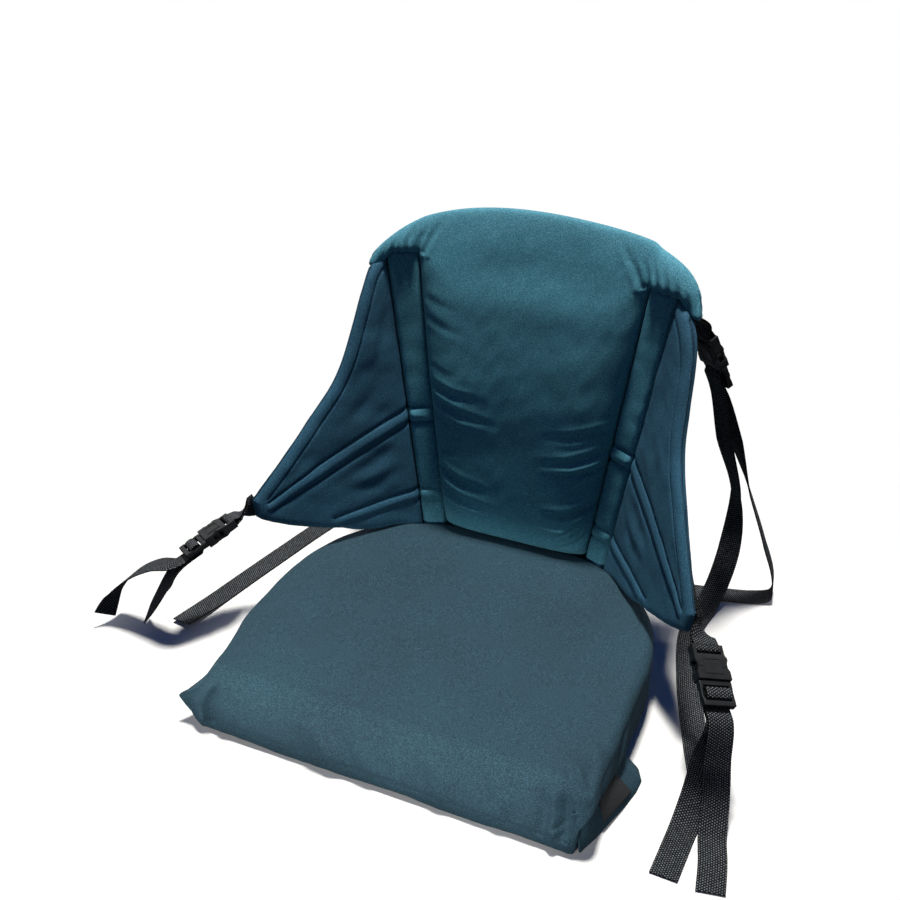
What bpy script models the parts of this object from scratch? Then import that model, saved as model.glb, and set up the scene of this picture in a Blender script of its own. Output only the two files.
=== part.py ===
"""Kayak seat: a foam cushion in a cover, a winged padded back, and four buckled webbing straps.

Metres, +Z up. X runs across the seat, the sitter faces -Y, and the origin is the centre of the
cushion's underside.
"""

import math

import bmesh
import bpy
from mathutils import Matrix, Vector

# Seat cushion
CUSHION_WIDTH = 0.410
CUSHION_DEPTH = 0.356
CUSHION_HEIGHT = 0.068
CUSHION_ROUNDNESS = 2.4
CUSHION_EDGE = 0.007
FRONT_SETBACK = 0.024
FRONT_CORNER = 0.012
COVER_THICKNESS = 0.0016
MOUTH_LENGTH = 0.058
MOUTH_HEIGHT = 0.006
TAPE_WIDTH = 0.022
TAPE_THICKNESS = 0.002
TAPE_INSET = 0.010

# Clearances between neighbours that touch
GAP = 0.0003
FOAM_GAP = 0.0006

# Back panel, measured along the height above the ground
BACK_TOP = 0.420
BACK_LEAN = 0.083
SEAM_SETBACK = 0.006
PAD_FOOT = 0.0695
PAD_HALF_FOOT = 0.086
PAD_HALF_HEAD = 0.122
PAD_BULGE = 0.016
PANEL_DEPTH = 0.015
ROLL_FOOT = 0.362
PANEL_HEAD = ROLL_FOOT - 0.002
ROLL_HALF = 0.166
ROLL_TOP_SHARE = 0.42
ROLL_BULGE = 0.010
STRIP_WIDTH_FOOT = 0.028
STRIP_WIDTH_HEAD = 0.034
STRIP_TURN = math.radians(23)
STRIP_SEAM = 0.0025

# Wings: reach from the strip, then the heights of the lower and upper edge there
WING_TURN = math.radians(51.5)
WING_DEPTH = 0.012
WING_EDGE_DEPTH = 0.006
WING_BULGE = 0.003
WING_TIP_REACH = 0.186
WING_SHAPE = (
    (0.000, 0.070, 0.372),
    (0.024, 0.071, 0.358),
    (0.044, 0.073, 0.318),
    (0.063, 0.076, 0.273),
    (0.082, 0.080, 0.243),
    (0.111, 0.087, 0.214),
    (0.154, 0.103, 0.172),
    (WING_TIP_REACH, 0.121, 0.143),
)

# Rear cover and the band that joins it to the cushion
REAR_FOOT = 0.004
REAR_HEAD = 0.356
REAR_THICKNESS = 0.004
BAND_HALF_WIDTH = 0.050
BAND_HEIGHT = 0.036

# Webbing
WEB_WIDTH = 0.0254
WEB_THICKNESS = 0.0014
WEB_STEP = 0.009
TAB_STEP = 0.003
TAB_SPLIT = 0.0007
BELT_STEP = 0.016
BELT_EASE = 0.002
UPPER_BELT_HEIGHT = 0.201
LOWER_BELT_HEIGHT = 0.102
BELT_TIP_HEIGHT = 0.132
LOWER_BELT_REACH = 0.110

# Side-release buckle
BUCKLE_WIDTH = 0.033
SOCKET_LENGTH = 0.036
SOCKET_THICKNESS = 0.011
SOCKET_WALL = 0.0018
SLOT_CLEARANCE = 0.0006
NECK_BAR = 0.005
NECK_SLOT = 0.005
NECK_SOLID = 0.0045
WINDOW_START = 0.016
WINDOW_LENGTH = 0.012
PLUG_THICKNESS = 0.005
PLUG_BAR = 0.005
PLUG_SLOT = 0.005
PRONG_WIDTH = 0.005
PRONG_LENGTH = 0.021
GUIDE_WIDTH = 0.007
BUCKLE_EDGE = 0.0009

CLOTH = (0.010, 0.058, 0.092)
CLOTH_LIT = (0.020, 0.075, 0.098)
BLACK_WEB = (0.012, 0.013, 0.016)
BLACK_PLASTIC = (0.008, 0.009, 0.010)
FOAM = (0.35, 0.36, 0.36)

seat = bpy.data.collections.new("kayak_seat")
cutters = bpy.data.collections.new("cutters")


def clear_scene():
    """Start from an empty scene with one collection for the parts and one for the cutters."""
    for thing in list(bpy.data.objects):
        bpy.data.objects.remove(thing, do_unlink=True)
    bpy.context.scene.collection.children.link(seat)
    bpy.context.scene.collection.children.link(cutters)


def make_material(name, colour, roughness):
    material = bpy.data.materials.new(name)
    material.use_nodes = True
    shader = material.node_tree.nodes["Principled BSDF"]
    shader.inputs["Base Color"].default_value = (*colour, 1.0)
    shader.inputs["Roughness"].default_value = roughness
    material.diffuse_color = (*colour, 1.0)
    return material


def add_object(name, mesh, material, collection=seat):
    """Link a mesh as a named object that has its own material."""
    thing = bpy.data.objects.new(name, mesh)
    collection.objects.link(thing)
    if material:
        mesh.materials.append(material)
    return thing


def mesh_from(name, shape):
    """Turn a bmesh into a mesh with its faces pointing out."""
    bmesh.ops.recalc_face_normals(shape, faces=shape.faces)
    mesh = bpy.data.meshes.new(name)
    shape.to_mesh(mesh)
    shape.free()
    return mesh


def loft(name, sections, material):
    """Join sections that have the same number of points, and cap both ends."""
    shape = bmesh.new()
    rings = [[shape.verts.new(point) for point in section] for section in sections]
    count = len(rings[0])
    for near, far in zip(rings, rings[1:]):
        for i in range(count):
            j = (i + 1) % count
            shape.faces.new((near[i], near[j], far[j], far[i]))
    shape.faces.new(rings[0])
    shape.faces.new(rings[-1])
    bmesh.ops.triangulate(shape, faces=shape.faces)
    return add_object(name, mesh_from(name, shape), material)


def box(low, high):
    """A bmesh block between two corners."""
    low, high = Vector(low), Vector(high)
    size = high - low
    place = Matrix.Translation((low + high) / 2) @ Matrix.Diagonal((*size, 1.0))
    shape = bmesh.new()
    bmesh.ops.create_cube(shape, size=1.0, matrix=place)
    return shape


def cutter(name, low, high):
    thing = add_object(name, mesh_from(name, box(low, high)), None, cutters)
    thing.hide_render = True
    thing.display_type = "WIRE"
    return thing


def cut(thing, tool, operation="DIFFERENCE"):
    modifier = thing.modifiers.new(operation.lower(), "BOOLEAN")
    modifier.operation = operation
    modifier.solver = "EXACT"
    modifier.object = tool


def finished_mesh(thing, *tools):
    """The evaluated mesh of an object, which is removed with its cutters."""
    bpy.context.view_layer.update()
    evaluated = thing.evaluated_get(bpy.context.evaluated_depsgraph_get())
    mesh = bpy.data.meshes.new_from_object(evaluated)
    for old in (thing, *tools):
        bpy.data.objects.remove(old, do_unlink=True)
    return mesh


# Cushion

def cushion_outline(inset):
    """Plan of the cushion, smaller by inset all round: square at the front, rounded at the back."""
    half = CUSHION_WIDTH / 2 - inset
    reach = CUSHION_DEPTH / 2 - inset
    power = 2 / CUSHION_ROUNDNESS
    points = []
    for i in range(25):
        angle = math.pi * i / 24
        x = math.copysign(abs(math.cos(angle)) ** power, math.cos(angle)) * half
        points.append((x, math.sin(angle) ** power * reach))
    for side in (-1, 1):
        for i in range(4):
            turn = math.pi / 2 * i / 3
            if side == 1:
                turn = math.pi / 2 - turn
            x = side * (half - FRONT_CORNER + FRONT_CORNER * math.cos(turn))
            points.append((x, -reach + FRONT_CORNER - FRONT_CORNER * math.sin(turn)))
    return points


def cushion_block(name, inset):
    """The cushion's form, smaller by inset on every side."""
    low = inset
    high = CUSHION_HEIGHT - inset
    edge = CUSHION_EDGE - inset / 2
    levels = ((low, edge), (low + edge, 0), (high - edge, 0), (high - edge * 0.3, edge * 0.3), (high, edge))
    sections = []
    for z, shrink in levels:
        setback = FRONT_SETBACK * (z - low) / (high - low)
        ring = []
        for x, y in cushion_outline(inset + shrink):
            share = max(0.0, -y) / (CUSHION_DEPTH / 2 - inset - shrink)
            ring.append(Vector((x, y + setback * share, z)))
        sections.append(ring)
    return loft(name, sections, None)


def build_cushion(cloth, foam, tape):
    core = cushion_block("seat_foam", COVER_THICKNESS + FOAM_GAP)
    core.data.materials.append(foam)

    outer = cushion_block("cover_outer", 0.0)
    hollow = cushion_block("cover_hollow", COVER_THICKNESS)
    side = CUSHION_WIDTH / 2
    front = -CUSHION_DEPTH / 2 + FRONT_SETBACK + FRONT_CORNER
    middle = CUSHION_HEIGHT / 2
    mouth = cutter(
        "mouth_cutter",
        (side - 4 * COVER_THICKNESS, front, middle - MOUTH_HEIGHT / 2),
        (side + 4 * COVER_THICKNESS, front + MOUTH_LENGTH, middle + MOUTH_HEIGHT / 2),
    )
    cut(outer, hollow)
    cut(outer, mouth)
    cover = finished_mesh(outer, hollow, mouth)
    add_object("seat_cover", cover, cloth)

    tape_foot = middle - TAPE_WIDTH / 2
    corner = Vector((side + GAP, front + TAPE_INSET, tape_foot))
    tape_box = box(corner, corner + Vector((TAPE_THICKNESS, MOUTH_LENGTH - 2 * TAPE_INSET, TAPE_WIDTH)))
    add_object("mouth_tape", mesh_from("mouth_tape", tape_box), tape)


# Back: the front surface is a bent line in plan, which changes with height

def share_up(z):
    return (z - PAD_FOOT) / (ROLL_FOOT - PAD_FOOT)


def blend(foot, head, z):
    return foot + (head - foot) * share_up(z)


def back_line(z):
    """Y of the pad's edges at height z."""
    return CUSHION_DEPTH / 2 - SEAM_SETBACK + BACK_LEAN * (z - PAD_FOOT)


def turned(angle):
    """Direction in plan that leaves the back's middle on the right and turns forward by angle."""
    return Vector((math.cos(angle), -math.sin(angle), 0.0))


def outward(angle):
    """Direction square to turned(angle), pointing to the rear."""
    return Vector((math.sin(angle), math.cos(angle), 0.0))


def inner_seam(z):
    """Seam between the pad and the right strip."""
    return Vector((blend(PAD_HALF_FOOT, PAD_HALF_HEAD, z), back_line(z), z))


def outer_seam(z):
    """Seam between the right strip and the right wing."""
    return inner_seam(z) + turned(STRIP_TURN) * blend(STRIP_WIDTH_FOOT, STRIP_WIDTH_HEAD, z)


def mitre(first, second):
    """Vector from a seam on the front to the same seam one unit deeper."""
    half = (second - first) / 2
    return outward((first + second) / 2) / math.cos(half)


def inner_rear(z, depth=PANEL_DEPTH):
    return inner_seam(z) + mitre(0.0, STRIP_TURN) * depth


def outer_rear(z, depth=PANEL_DEPTH):
    return outer_seam(z) + mitre(STRIP_TURN, WING_TURN) * depth


def mirrored(points, side):
    """Points for the right side, or their mirror image for the left."""
    return [Vector((p.x * side, p.y, p.z)) for p in points]


def build_back_pad(cloth):
    """Centre panel, narrow at its foot, which widens into the roll along the top."""
    columns = [i / 6 for i in range(-6, 7)]
    rise = BACK_TOP - ROLL_FOOT
    levels = [PAD_FOOT + (ROLL_FOOT - PAD_FOOT) * i / 6 for i in range(7)]
    sections = []
    for i, z in enumerate(levels):
        half = inner_seam(z).x - GAP
        swell = PAD_BULGE * (0.75 if i == 0 else 1.0)
        sections.append(pad_section(columns, z, half, swell, PANEL_DEPTH))
    for share in (0.06, 0.35, 0.65, 0.88, 1.0):
        z = ROLL_FOOT + rise * share
        half = ROLL_HALF * max((1 - share ** 2.2) ** 0.45, ROLL_TOP_SHARE)
        thin = math.sqrt(max(0.0, 1 - share ** 3)) * 0.9 + 0.1
        sections.append(pad_section(columns, z, half, ROLL_BULGE * thin, PANEL_DEPTH * thin))
    loft("back_pad", sections, cloth)


def pad_section(columns, z, half, swell, depth):
    front = []
    for c in columns:
        y = back_line(z) - swell * (1 - abs(c) ** 2.5) - 0.002 * (1 - abs(c))
        front.append(Vector((c * half, y, z)))
    rear = [Vector((c * half, back_line(z) + depth, z)) for c in reversed(columns)]
    return front + rear


def build_strip(name, side, cloth):
    """Quilted strip between the pad and a wing."""
    sections = []
    for i in range(9):
        z = PAD_FOOT + (PANEL_HEAD - PAD_FOOT) * i / 8
        along = turned(STRIP_TURN)
        a, b = inner_seam(z) + along * GAP, outer_seam(z) - along * GAP
        c, d = outer_rear(z) - along * GAP, inner_rear(z) + along * GAP
        crown = (a + b) / 2 - outward(STRIP_TURN) * STRIP_SEAM
        sections.append(mirrored([a, crown, b, c, d], side))
    loft(name, sections, cloth)


def wing_front(reach, z):
    """Point on the right wing's front face."""
    return outer_seam(z) + turned(WING_TURN) * reach


def wing_depth(reach):
    return WING_DEPTH + (WING_EDGE_DEPTH - WING_DEPTH) * (reach / WING_TIP_REACH) ** 2


def build_wing(name, side, cloth):
    """Padded wing, thinner towards its outer edge."""
    rear = outward(WING_TURN)
    sections = []
    for i, (reach, foot, head) in enumerate(WING_SHAPE):
        depth = wing_depth(reach)
        low, high = wing_front(reach, foot), wing_front(reach, min(head, PANEL_HEAD))
        if i == 0:
            shift = turned(WING_TURN) * GAP
            low_rear, high_rear = outer_rear(low.z) + shift, outer_rear(high.z) + shift
            low, high = low + shift, high + shift
        else:
            low_rear, high_rear = low + rear * depth, high + rear * depth
        middle = (low + high) / 2 - rear * (WING_BULGE if i else 0.0)
        middle_rear = (low_rear + high_rear) / 2
        sections.append(mirrored([low, middle, high, high_rear, middle_rear, low_rear], side))
    loft(name, sections, cloth)


def rear_line(z, depth):
    """The back's rear surface in plan, left to right, at a depth behind the front seams."""
    right = [inner_rear(z, depth), outer_rear(z, depth)]
    return mirrored(reversed(right), -1) + right


def build_rear_panel(cloth):
    sections = []
    for i in range(7):
        z = REAR_FOOT + (REAR_HEAD - REAR_FOOT) * i / 6
        near = rear_line(z, PANEL_DEPTH + GAP)
        far = rear_line(z, PANEL_DEPTH + GAP + REAR_THICKNESS)
        sections.append(near + list(reversed(far)))
    loft("rear_panel", sections, cloth)


def cushion_rear(x):
    """Y of the cushion's rear face at x."""
    share = 1 - (abs(x) / (CUSHION_WIDTH / 2)) ** CUSHION_ROUNDNESS
    return CUSHION_DEPTH / 2 * share ** (1 / CUSHION_ROUNDNESS)


def build_joint_band(cloth):
    """Sewn band between the cover's rear face and the rear panel."""
    foot, head = CUSHION_EDGE, CUSHION_EDGE + BAND_HEIGHT
    sections = []
    for i in range(9):
        x = BAND_HALF_WIDTH * (i / 4 - 1)
        near = cushion_rear(x) + GAP
        section = [Vector((x, near, z)) for z in (foot, head)]
        section += [Vector((x, back_line(z) + PANEL_DEPTH, z)) for z in (head, foot)]
        sections.append(section)
    loft("joint_band", sections, cloth)


# Webbing

def direction_at(samples, i):
    before, after = samples[max(i - 1, 0)][0], samples[min(i + 1, len(samples) - 1)][0]
    return (after - before).normalized()


def spline(points, across, step):
    """A smooth curve through points, with the width direction carried square to it."""
    samples = []
    last = len(points) - 1
    for i in range(last):
        p0, p1 = points[max(i - 1, 0)], points[i]
        p2, p3 = points[i + 1], points[min(i + 2, last)]
        span = (p2 - p1).length
        before = (p1 - p0).length or span
        after = (p3 - p2).length or span
        start = ((p2 - p1) / span + (p1 - p0) / before) / 2 * span
        end = ((p2 - p1) / span + (p3 - p2) / after) / 2 * span
        pieces = max(1, math.ceil(span / step))
        for k in range(pieces):
            t = k / pieces
            t2, t3 = t * t, t * t * t
            place = (
                p1 * (2 * t3 - 3 * t2 + 1) + start * (t3 - 2 * t2 + t)
                + p2 * (3 * t2 - 2 * t3) + end * (t3 - t2)
            )
            samples.append((place, across[i].lerp(across[i + 1], t)))
    samples.append((points[-1], across[-1]))
    squared = []
    for i, (place, side) in enumerate(samples):
        along = direction_at(samples, i)
        squared.append((place, (side - along * side.dot(along)).normalized()))
    return squared


def webbing(name, samples, material):
    """Flat webbing along a route: a strip of quads with its thickness from Solidify.

    No point of it goes below the ground.
    """
    shape = bmesh.new()
    rows = []
    for place, side in samples:
        half = side * WEB_WIDTH / 2
        lowest = place.z - abs(half.z) - WEB_THICKNESS / 2 - GAP
        lift = Vector((0.0, 0.0, max(0.0, -lowest)))
        rows.append((shape.verts.new(place - half + lift), shape.verts.new(place + half + lift)))
    for near, far in zip(rows, rows[1:]):
        shape.faces.new((near[0], near[1], far[1], far[0]))
    mesh = bpy.data.meshes.new(name)
    shape.to_mesh(mesh)
    shape.free()
    thing = add_object(name, mesh, material)
    solidify = thing.modifiers.new("thickness", "SOLIDIFY")
    solidify.thickness = WEB_THICKNESS
    solidify.offset = 0.0
    return thing


def belt_point(reach, z, depth):
    """Point behind the right wing, at a depth behind its front face."""
    return wing_front(reach, z) + outward(WING_TURN) * depth


def belt_line(height, tip_height, reach):
    """Right half of a belt, from the rear panel's edge to its end behind the wing."""
    depth = PANEL_DEPTH + REAR_THICKNESS + 2 * GAP + WEB_THICKNESS
    tip_depth = WEB_THICKNESS + 2 * GAP + wing_depth(reach)
    return [
        inner_rear(height, depth),
        outer_rear(height, depth + BELT_EASE) - turned(STRIP_TURN) * 2 * BELT_EASE,
        outer_rear(height, depth + BELT_EASE) + turned(WING_TURN) * 2 * BELT_EASE,
        belt_point(reach * 0.45, height + (tip_height - height) * 0.45, depth),
        belt_point(reach, tip_height, tip_depth),
    ]


def build_belts(web):
    """Two belts sewn across the rear of the back, from wing to wing."""
    for name, height, tip_height, reach in (
        ("upper_belt", UPPER_BELT_HEIGHT, BELT_TIP_HEIGHT, WING_TIP_REACH - 0.010),
        ("lower_belt", LOWER_BELT_HEIGHT, LOWER_BELT_HEIGHT + 0.006, LOWER_BELT_REACH),
    ):
        half_web = WEB_WIDTH / 2
        low = belt_line(height - half_web, tip_height - half_web, reach)
        high = belt_line(height + half_web, tip_height + half_web, reach)
        right = [(a + b) / 2 for a, b in zip(low, high)]
        ways = [(b - a).normalized() for a, b in zip(low, high)]
        points = mirrored(reversed(right), -1) + [Vector((0.0, right[0].y, right[0].z))] + right
        middle_way = Vector((0.0, ways[0].y, ways[0].z)).normalized()
        all_ways = mirrored(reversed(ways), -1) + [middle_way] + ways
        webbing(name, spline(points, all_ways, BELT_STEP), web)


# Buckles, built along +Y with the neck bar's axis at the origin and the width along X

def plug_start():
    return SOCKET_LENGTH - NECK_BAR / 2 + GAP


def build_socket_mesh(plastic):
    half, thick = BUCKLE_WIDTH / 2, SOCKET_THICKNESS / 2
    start = -NECK_BAR / 2
    body = add_object(
        "socket_body",
        mesh_from("socket_body", box((-half, start, -thick), (half, start + SOCKET_LENGTH, thick))),
        plastic,
    )
    bevel = body.modifiers.new("edges", "BEVEL")
    bevel.width = BUCKLE_EDGE * 2
    bevel.segments = 2
    slot_half = WEB_WIDTH / 2 + SLOT_CLEARANCE
    room = thick - SOCKET_WALL
    hollow_start = NECK_BAR / 2 + NECK_SLOT + NECK_SOLID
    tools = [
        cutter(
            "neck_slot",
            (-slot_half, NECK_BAR / 2, -SOCKET_THICKNESS),
            (slot_half, NECK_BAR / 2 + NECK_SLOT, SOCKET_THICKNESS),
        ),
        cutter(
            "hollow",
            (-half + SOCKET_WALL, hollow_start, -room),
            (half - SOCKET_WALL, SOCKET_LENGTH + 0.004, room),
        ),
        cutter(
            "window",
            (-half - 0.002, WINDOW_START, GAP - room),
            (half + 0.002, WINDOW_START + WINDOW_LENGTH, room - GAP),
        ),
    ]
    for z in (-1, 1):
        low, high = sorted((z * NECK_BAR / 2, z * SOCKET_THICKNESS))
        tools.append(cutter("neck_step", (-slot_half, start - 0.002, low), (slot_half, NECK_BAR / 2 + 0.001, high)))
    for tool in tools:
        cut(body, tool)
    return finished_mesh(body, *tools)


def build_plug_mesh(plastic):
    """Plug: a ladder frame with two slots, two prongs and a centre guide, all one moulding."""
    half, thick = BUCKLE_WIDTH / 2, PLUG_THICKNESS / 2
    start = plug_start()
    length = 3 * PLUG_BAR + 2 * PLUG_SLOT
    frame = add_object(
        "plug_frame",
        mesh_from("plug_frame", box((-half, start, -thick), (half, start + length, thick))),
        plastic,
    )
    bevel = frame.modifiers.new("edges", "BEVEL")
    bevel.width = BUCKLE_EDGE
    bevel.segments = 2
    slot_half = WEB_WIDTH / 2 + SLOT_CLEARANCE
    tools = []
    for i in range(2):
        low = start + PLUG_BAR + i * (PLUG_BAR + PLUG_SLOT)
        slot = cutter("slot", (-slot_half, low, -PLUG_THICKNESS), (slot_half, low + PLUG_SLOT, PLUG_THICKNESS))
        cut(frame, slot)
        tools.append(slot)
    prong_out = half - SOCKET_WALL - SLOT_CLEARANCE
    arm_thick = thick * 0.8
    arms = (
        (-prong_out, -prong_out + PRONG_WIDTH),
        (-GUIDE_WIDTH / 2, GUIDE_WIDTH / 2),
        (prong_out - PRONG_WIDTH, prong_out),
    )
    for low, high in arms:
        arm = cutter("arm", (low, start - PRONG_LENGTH, -arm_thick), (high, start + PLUG_BAR / 2, arm_thick))
        cut(frame, arm, "UNION")
        tools.append(arm)
    return finished_mesh(frame, *tools)


def buckle_place(start, end, across):
    """Matrix that puts a buckle's neck bar at start and points it at end."""
    along = (Vector(end) - Vector(start)).normalized()
    side = Vector(across)
    side = (side - along * side.dot(along)).normalized()
    up = side.cross(along)
    place = Matrix((side, along, up)).transposed().to_4x4()
    place.translation = Vector(start)
    return place


def tab_route():
    """The tab's loop round the neck bar, in the buckle's frame: (along, up)."""
    clear = NECK_BAR / 2 + WEB_THICKNESS / 2 + 0.0006
    layer = WEB_THICKNESS / 2 + GAP
    return (
        (-2.4 * clear, layer + 0.0006), (-clear, clear * 0.80), (0.0, clear),
        (clear * 0.85, clear * 0.85), (clear + 0.0004, 0.0), (clear * 0.85, -clear * 0.85),
        (0.0, -clear), (-clear, -clear * 0.80), (-2.4 * clear, -layer - 0.0006),
    )


def ladder_route():
    """The strap's way through the plug, in the buckle's frame: (along, up)."""
    start = plug_start()
    first = start + PLUG_BAR + PLUG_SLOT / 2
    second = first + PLUG_BAR + PLUG_SLOT
    end = start + 3 * PLUG_BAR + 2 * PLUG_SLOT
    over = PLUG_THICKNESS / 2 + WEB_THICKNESS / 2 + 0.0012
    under = over + WEB_THICKNESS + 0.0007
    return (
        (end + 0.012, -under - 0.0010), (end - 0.001, -under), (second - 0.003, -under),
        (first + 0.0022, -under + 0.0002), (first, -over + 0.0002), (first - 0.0001, 0.0),
        (first + 0.0004, over * 0.8), (first + 0.0025, over), (second - 0.0025, over),
        (second - 0.0004, over * 0.8), (second, 0.0), (second + 0.0002, -over * 0.55),
        (second + 0.0018, -over * 0.96), (end - 0.001, -over), (end + 0.012, -over + 0.0010),
    )


def in_place(place, route):
    return [place @ Vector((0.0, along, up)) for along, up in route]


# Strap sets: the buckle's place, and each loose strand's route with its width direction

def world(points):
    return [Vector(p) for p in points]


FRONT_START = (0.2580, 0.0000, 0.1230)
FRONT_END = (0.2886, -0.0535, 0.1010)
FRONT_ACROSS = (-0.80, -0.45, 0.28)
FRONT_TAB_SLOPE = math.radians(20)
REAR_START = (0.1780, 0.2125, 0.3270)
REAR_END = (0.1983, 0.2318, 0.2693)
REAR_ACROSS = (0.70, -0.60, 0.10)
REAR_TAB_SLOPE = math.radians(45)
REAR_TAB_HEIGHT = 0.348
TAB_STRAIGHT = 0.004
TAB_NECK = 0.005
TAB_GAP = 0.0010

STRANDS = {
    ("front", "right"): (
        (
            ((0.2845, -0.0700, 0.0600), (0.90, 0.20, -0.20)),
            ((0.2820, -0.0810, 0.0230), (0.96, 0.12, -0.05)),
            ((0.2800, -0.1020, 0.0035), (0.99, 0.05, 0.00)),
            ((0.2790, -0.1290, 0.0012), (0.99, 0.05, 0.00)),
            ((0.2780, -0.1620, 0.0012), (0.97, -0.20, 0.00)),
        ),
        (
            ((0.2950, -0.0730, 0.0620), (0.85, 0.40, -0.20)),
            ((0.3010, -0.0840, 0.0240), (0.92, 0.30, 0.00)),
            ((0.3060, -0.1050, 0.0045), (0.98, 0.10, 0.00)),
            ((0.3130, -0.1310, 0.0030), (0.99, 0.05, 0.00)),
            ((0.3190, -0.1620, 0.0012), (0.99, 0.05, 0.00)),
        ),
    ),
    ("front", "left"): (
        (
            ((-0.3050, -0.0600, 0.0700), (-0.75, 0.35, -0.45)),
            ((-0.3240, -0.0640, 0.0400), (-0.70, 0.45, -0.45)),
            ((-0.3420, -0.0630, 0.0150), (-0.65, 0.60, -0.45)),
        ),
        (
            ((-0.3180, -0.0580, 0.0860), (-0.30, 0.95, -0.10)),
            ((-0.3520, -0.0590, 0.0640), (-0.05, 0.99, 0.00)),
            ((-0.3790, -0.0660, 0.0360), (0.10, 0.98, 0.00)),
            ((-0.3870, -0.0800, 0.0130), (0.45, 0.85, 0.00)),
        ),
    ),
    ("rear", "right"): (
        (
            ((0.2080, 0.2380, 0.2050), (0.80, -0.55, 0.10)),
            ((0.2270, 0.2470, 0.1400), (0.60, -0.80, 0.00)),
            ((0.2300, 0.2450, 0.0750), (0.95, -0.20, 0.00)),
            ((0.2250, 0.2360, 0.0280), (0.99, 0.10, 0.00)),
            ((0.2190, 0.2140, 0.0050), (0.99, 0.00, 0.00)),
            ((0.2140, 0.1710, 0.0016), (0.99, 0.05, 0.00)),
            ((0.2280, 0.0960, 0.0012), (0.97, 0.20, 0.00)),
            ((0.2540, 0.0010, 0.0012), (0.97, 0.22, 0.00)),
            ((0.2690, -0.0500, 0.0012), (0.95, 0.25, 0.00)),
        ),
        (
            ((0.2170, 0.2440, 0.2080), (0.75, -0.62, 0.10)),
            ((0.2390, 0.2540, 0.1450), (0.30, -0.95, 0.00)),
            ((0.2630, 0.2660, 0.0780), (0.20, -0.97, 0.00)),
            ((0.2820, 0.2700, 0.0200), (0.15, -0.98, 0.00)),
            ((0.2810, 0.2670, 0.0060), (0.15, -0.98, 0.00)),
            ((0.2600, 0.2590, 0.0012), (0.25, -0.97, 0.00)),
            ((0.1800, 0.2400, 0.0012), (0.25, -0.97, 0.00)),
        ),
    ),
    ("rear", "left"): (
        (
            ((-0.2120, 0.2400, 0.2050), (-0.80, -0.55, 0.10)),
            ((-0.2340, 0.2480, 0.1350), (-0.80, -0.50, 0.00)),
            ((-0.2480, 0.2450, 0.0600), (-0.95, -0.20, 0.00)),
            ((-0.2580, 0.2250, 0.0120), (-0.99, 0.00, 0.00)),
            ((-0.2680, 0.1900, 0.0014), (-0.99, 0.05, 0.00)),
            ((-0.2840, 0.1050, 0.0012), (-0.99, 0.08, 0.00)),
            ((-0.3000, 0.0100, 0.0012), (-0.98, 0.15, 0.00)),
            ((-0.3080, -0.0500, 0.0060), (-0.97, 0.20, -0.10)),
        ),
        (
            ((-0.2180, 0.2520, 0.2080), (-0.75, -0.62, 0.10)),
            ((-0.2220, 0.2740, 0.1400), (-0.90, -0.40, 0.00)),
            ((-0.2160, 0.2840, 0.0650), (-0.90, -0.40, 0.00)),
            ((-0.2060, 0.2800, 0.0120), (-0.15, -0.98, 0.00)),
            ((-0.1780, 0.2780, 0.0012), (-0.05, -0.99, 0.00)),
            ((-0.1200, 0.2700, 0.0012), (0.05, -0.99, 0.00)),
        ),
    ),
}


def tab_root(where, side):
    """Sewn end of a tab: its place, its first direction and its width direction."""
    up = Vector((0.0, BACK_LEAN, 1.0)).normalized()
    stack = TAB_GAP + WEB_THICKNESS + TAB_SPLIT
    if where == "front":
        flat, slope = turned(WING_TURN), FRONT_TAB_SLOPE
        point = wing_front(WING_TIP_REACH, BELT_TIP_HEIGHT)
        point = point + outward(WING_TURN) * (WING_EDGE_DEPTH + stack)
    else:
        flat, slope = turned(STRIP_TURN), REAR_TAB_SLOPE
        point = outer_seam(REAR_TAB_HEIGHT)
        point = point + outward(STRIP_TURN) * (PANEL_DEPTH + GAP + REAR_THICKNESS + stack)
    ahead = flat * math.cos(slope) - up * math.sin(slope)
    way = flat * math.sin(slope) + up * math.cos(slope)
    return mirrored((point, ahead, way), side)


def tab_samples(place, width_way, root):
    """The tab's two sewn layers and the loop between them, as places with width directions."""
    point, ahead, way = root
    way = strand_way(way, width_way)
    loop_route = tab_route()
    loop_start = loop_route[0][0]
    neck = in_place(place, ((loop_start - TAB_NECK, 0.0), (loop_start - TAB_NECK / 4, 0.0)))
    middle = [point, point + ahead * TAB_STRAIGHT, *neck]
    turning = [way, way.lerp(width_way, 0.2), way.lerp(width_way, 0.8), width_way]
    core = spline(middle, turning, TAB_STEP)
    layers = ([], [])
    for i, (spot, side) in enumerate(core):
        square = side.cross(direction_at(core, i)).normalized() * (WEB_THICKNESS / 2 + TAB_SPLIT)
        layers[0].append((spot + square, side))
        layers[1].append((spot - square, side))
    loop = in_place(place, loop_route)
    loop_samples = spline(loop, [width_way] * len(loop), TAB_STEP)
    return layers[0] + loop_samples + list(reversed(layers[1]))


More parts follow.
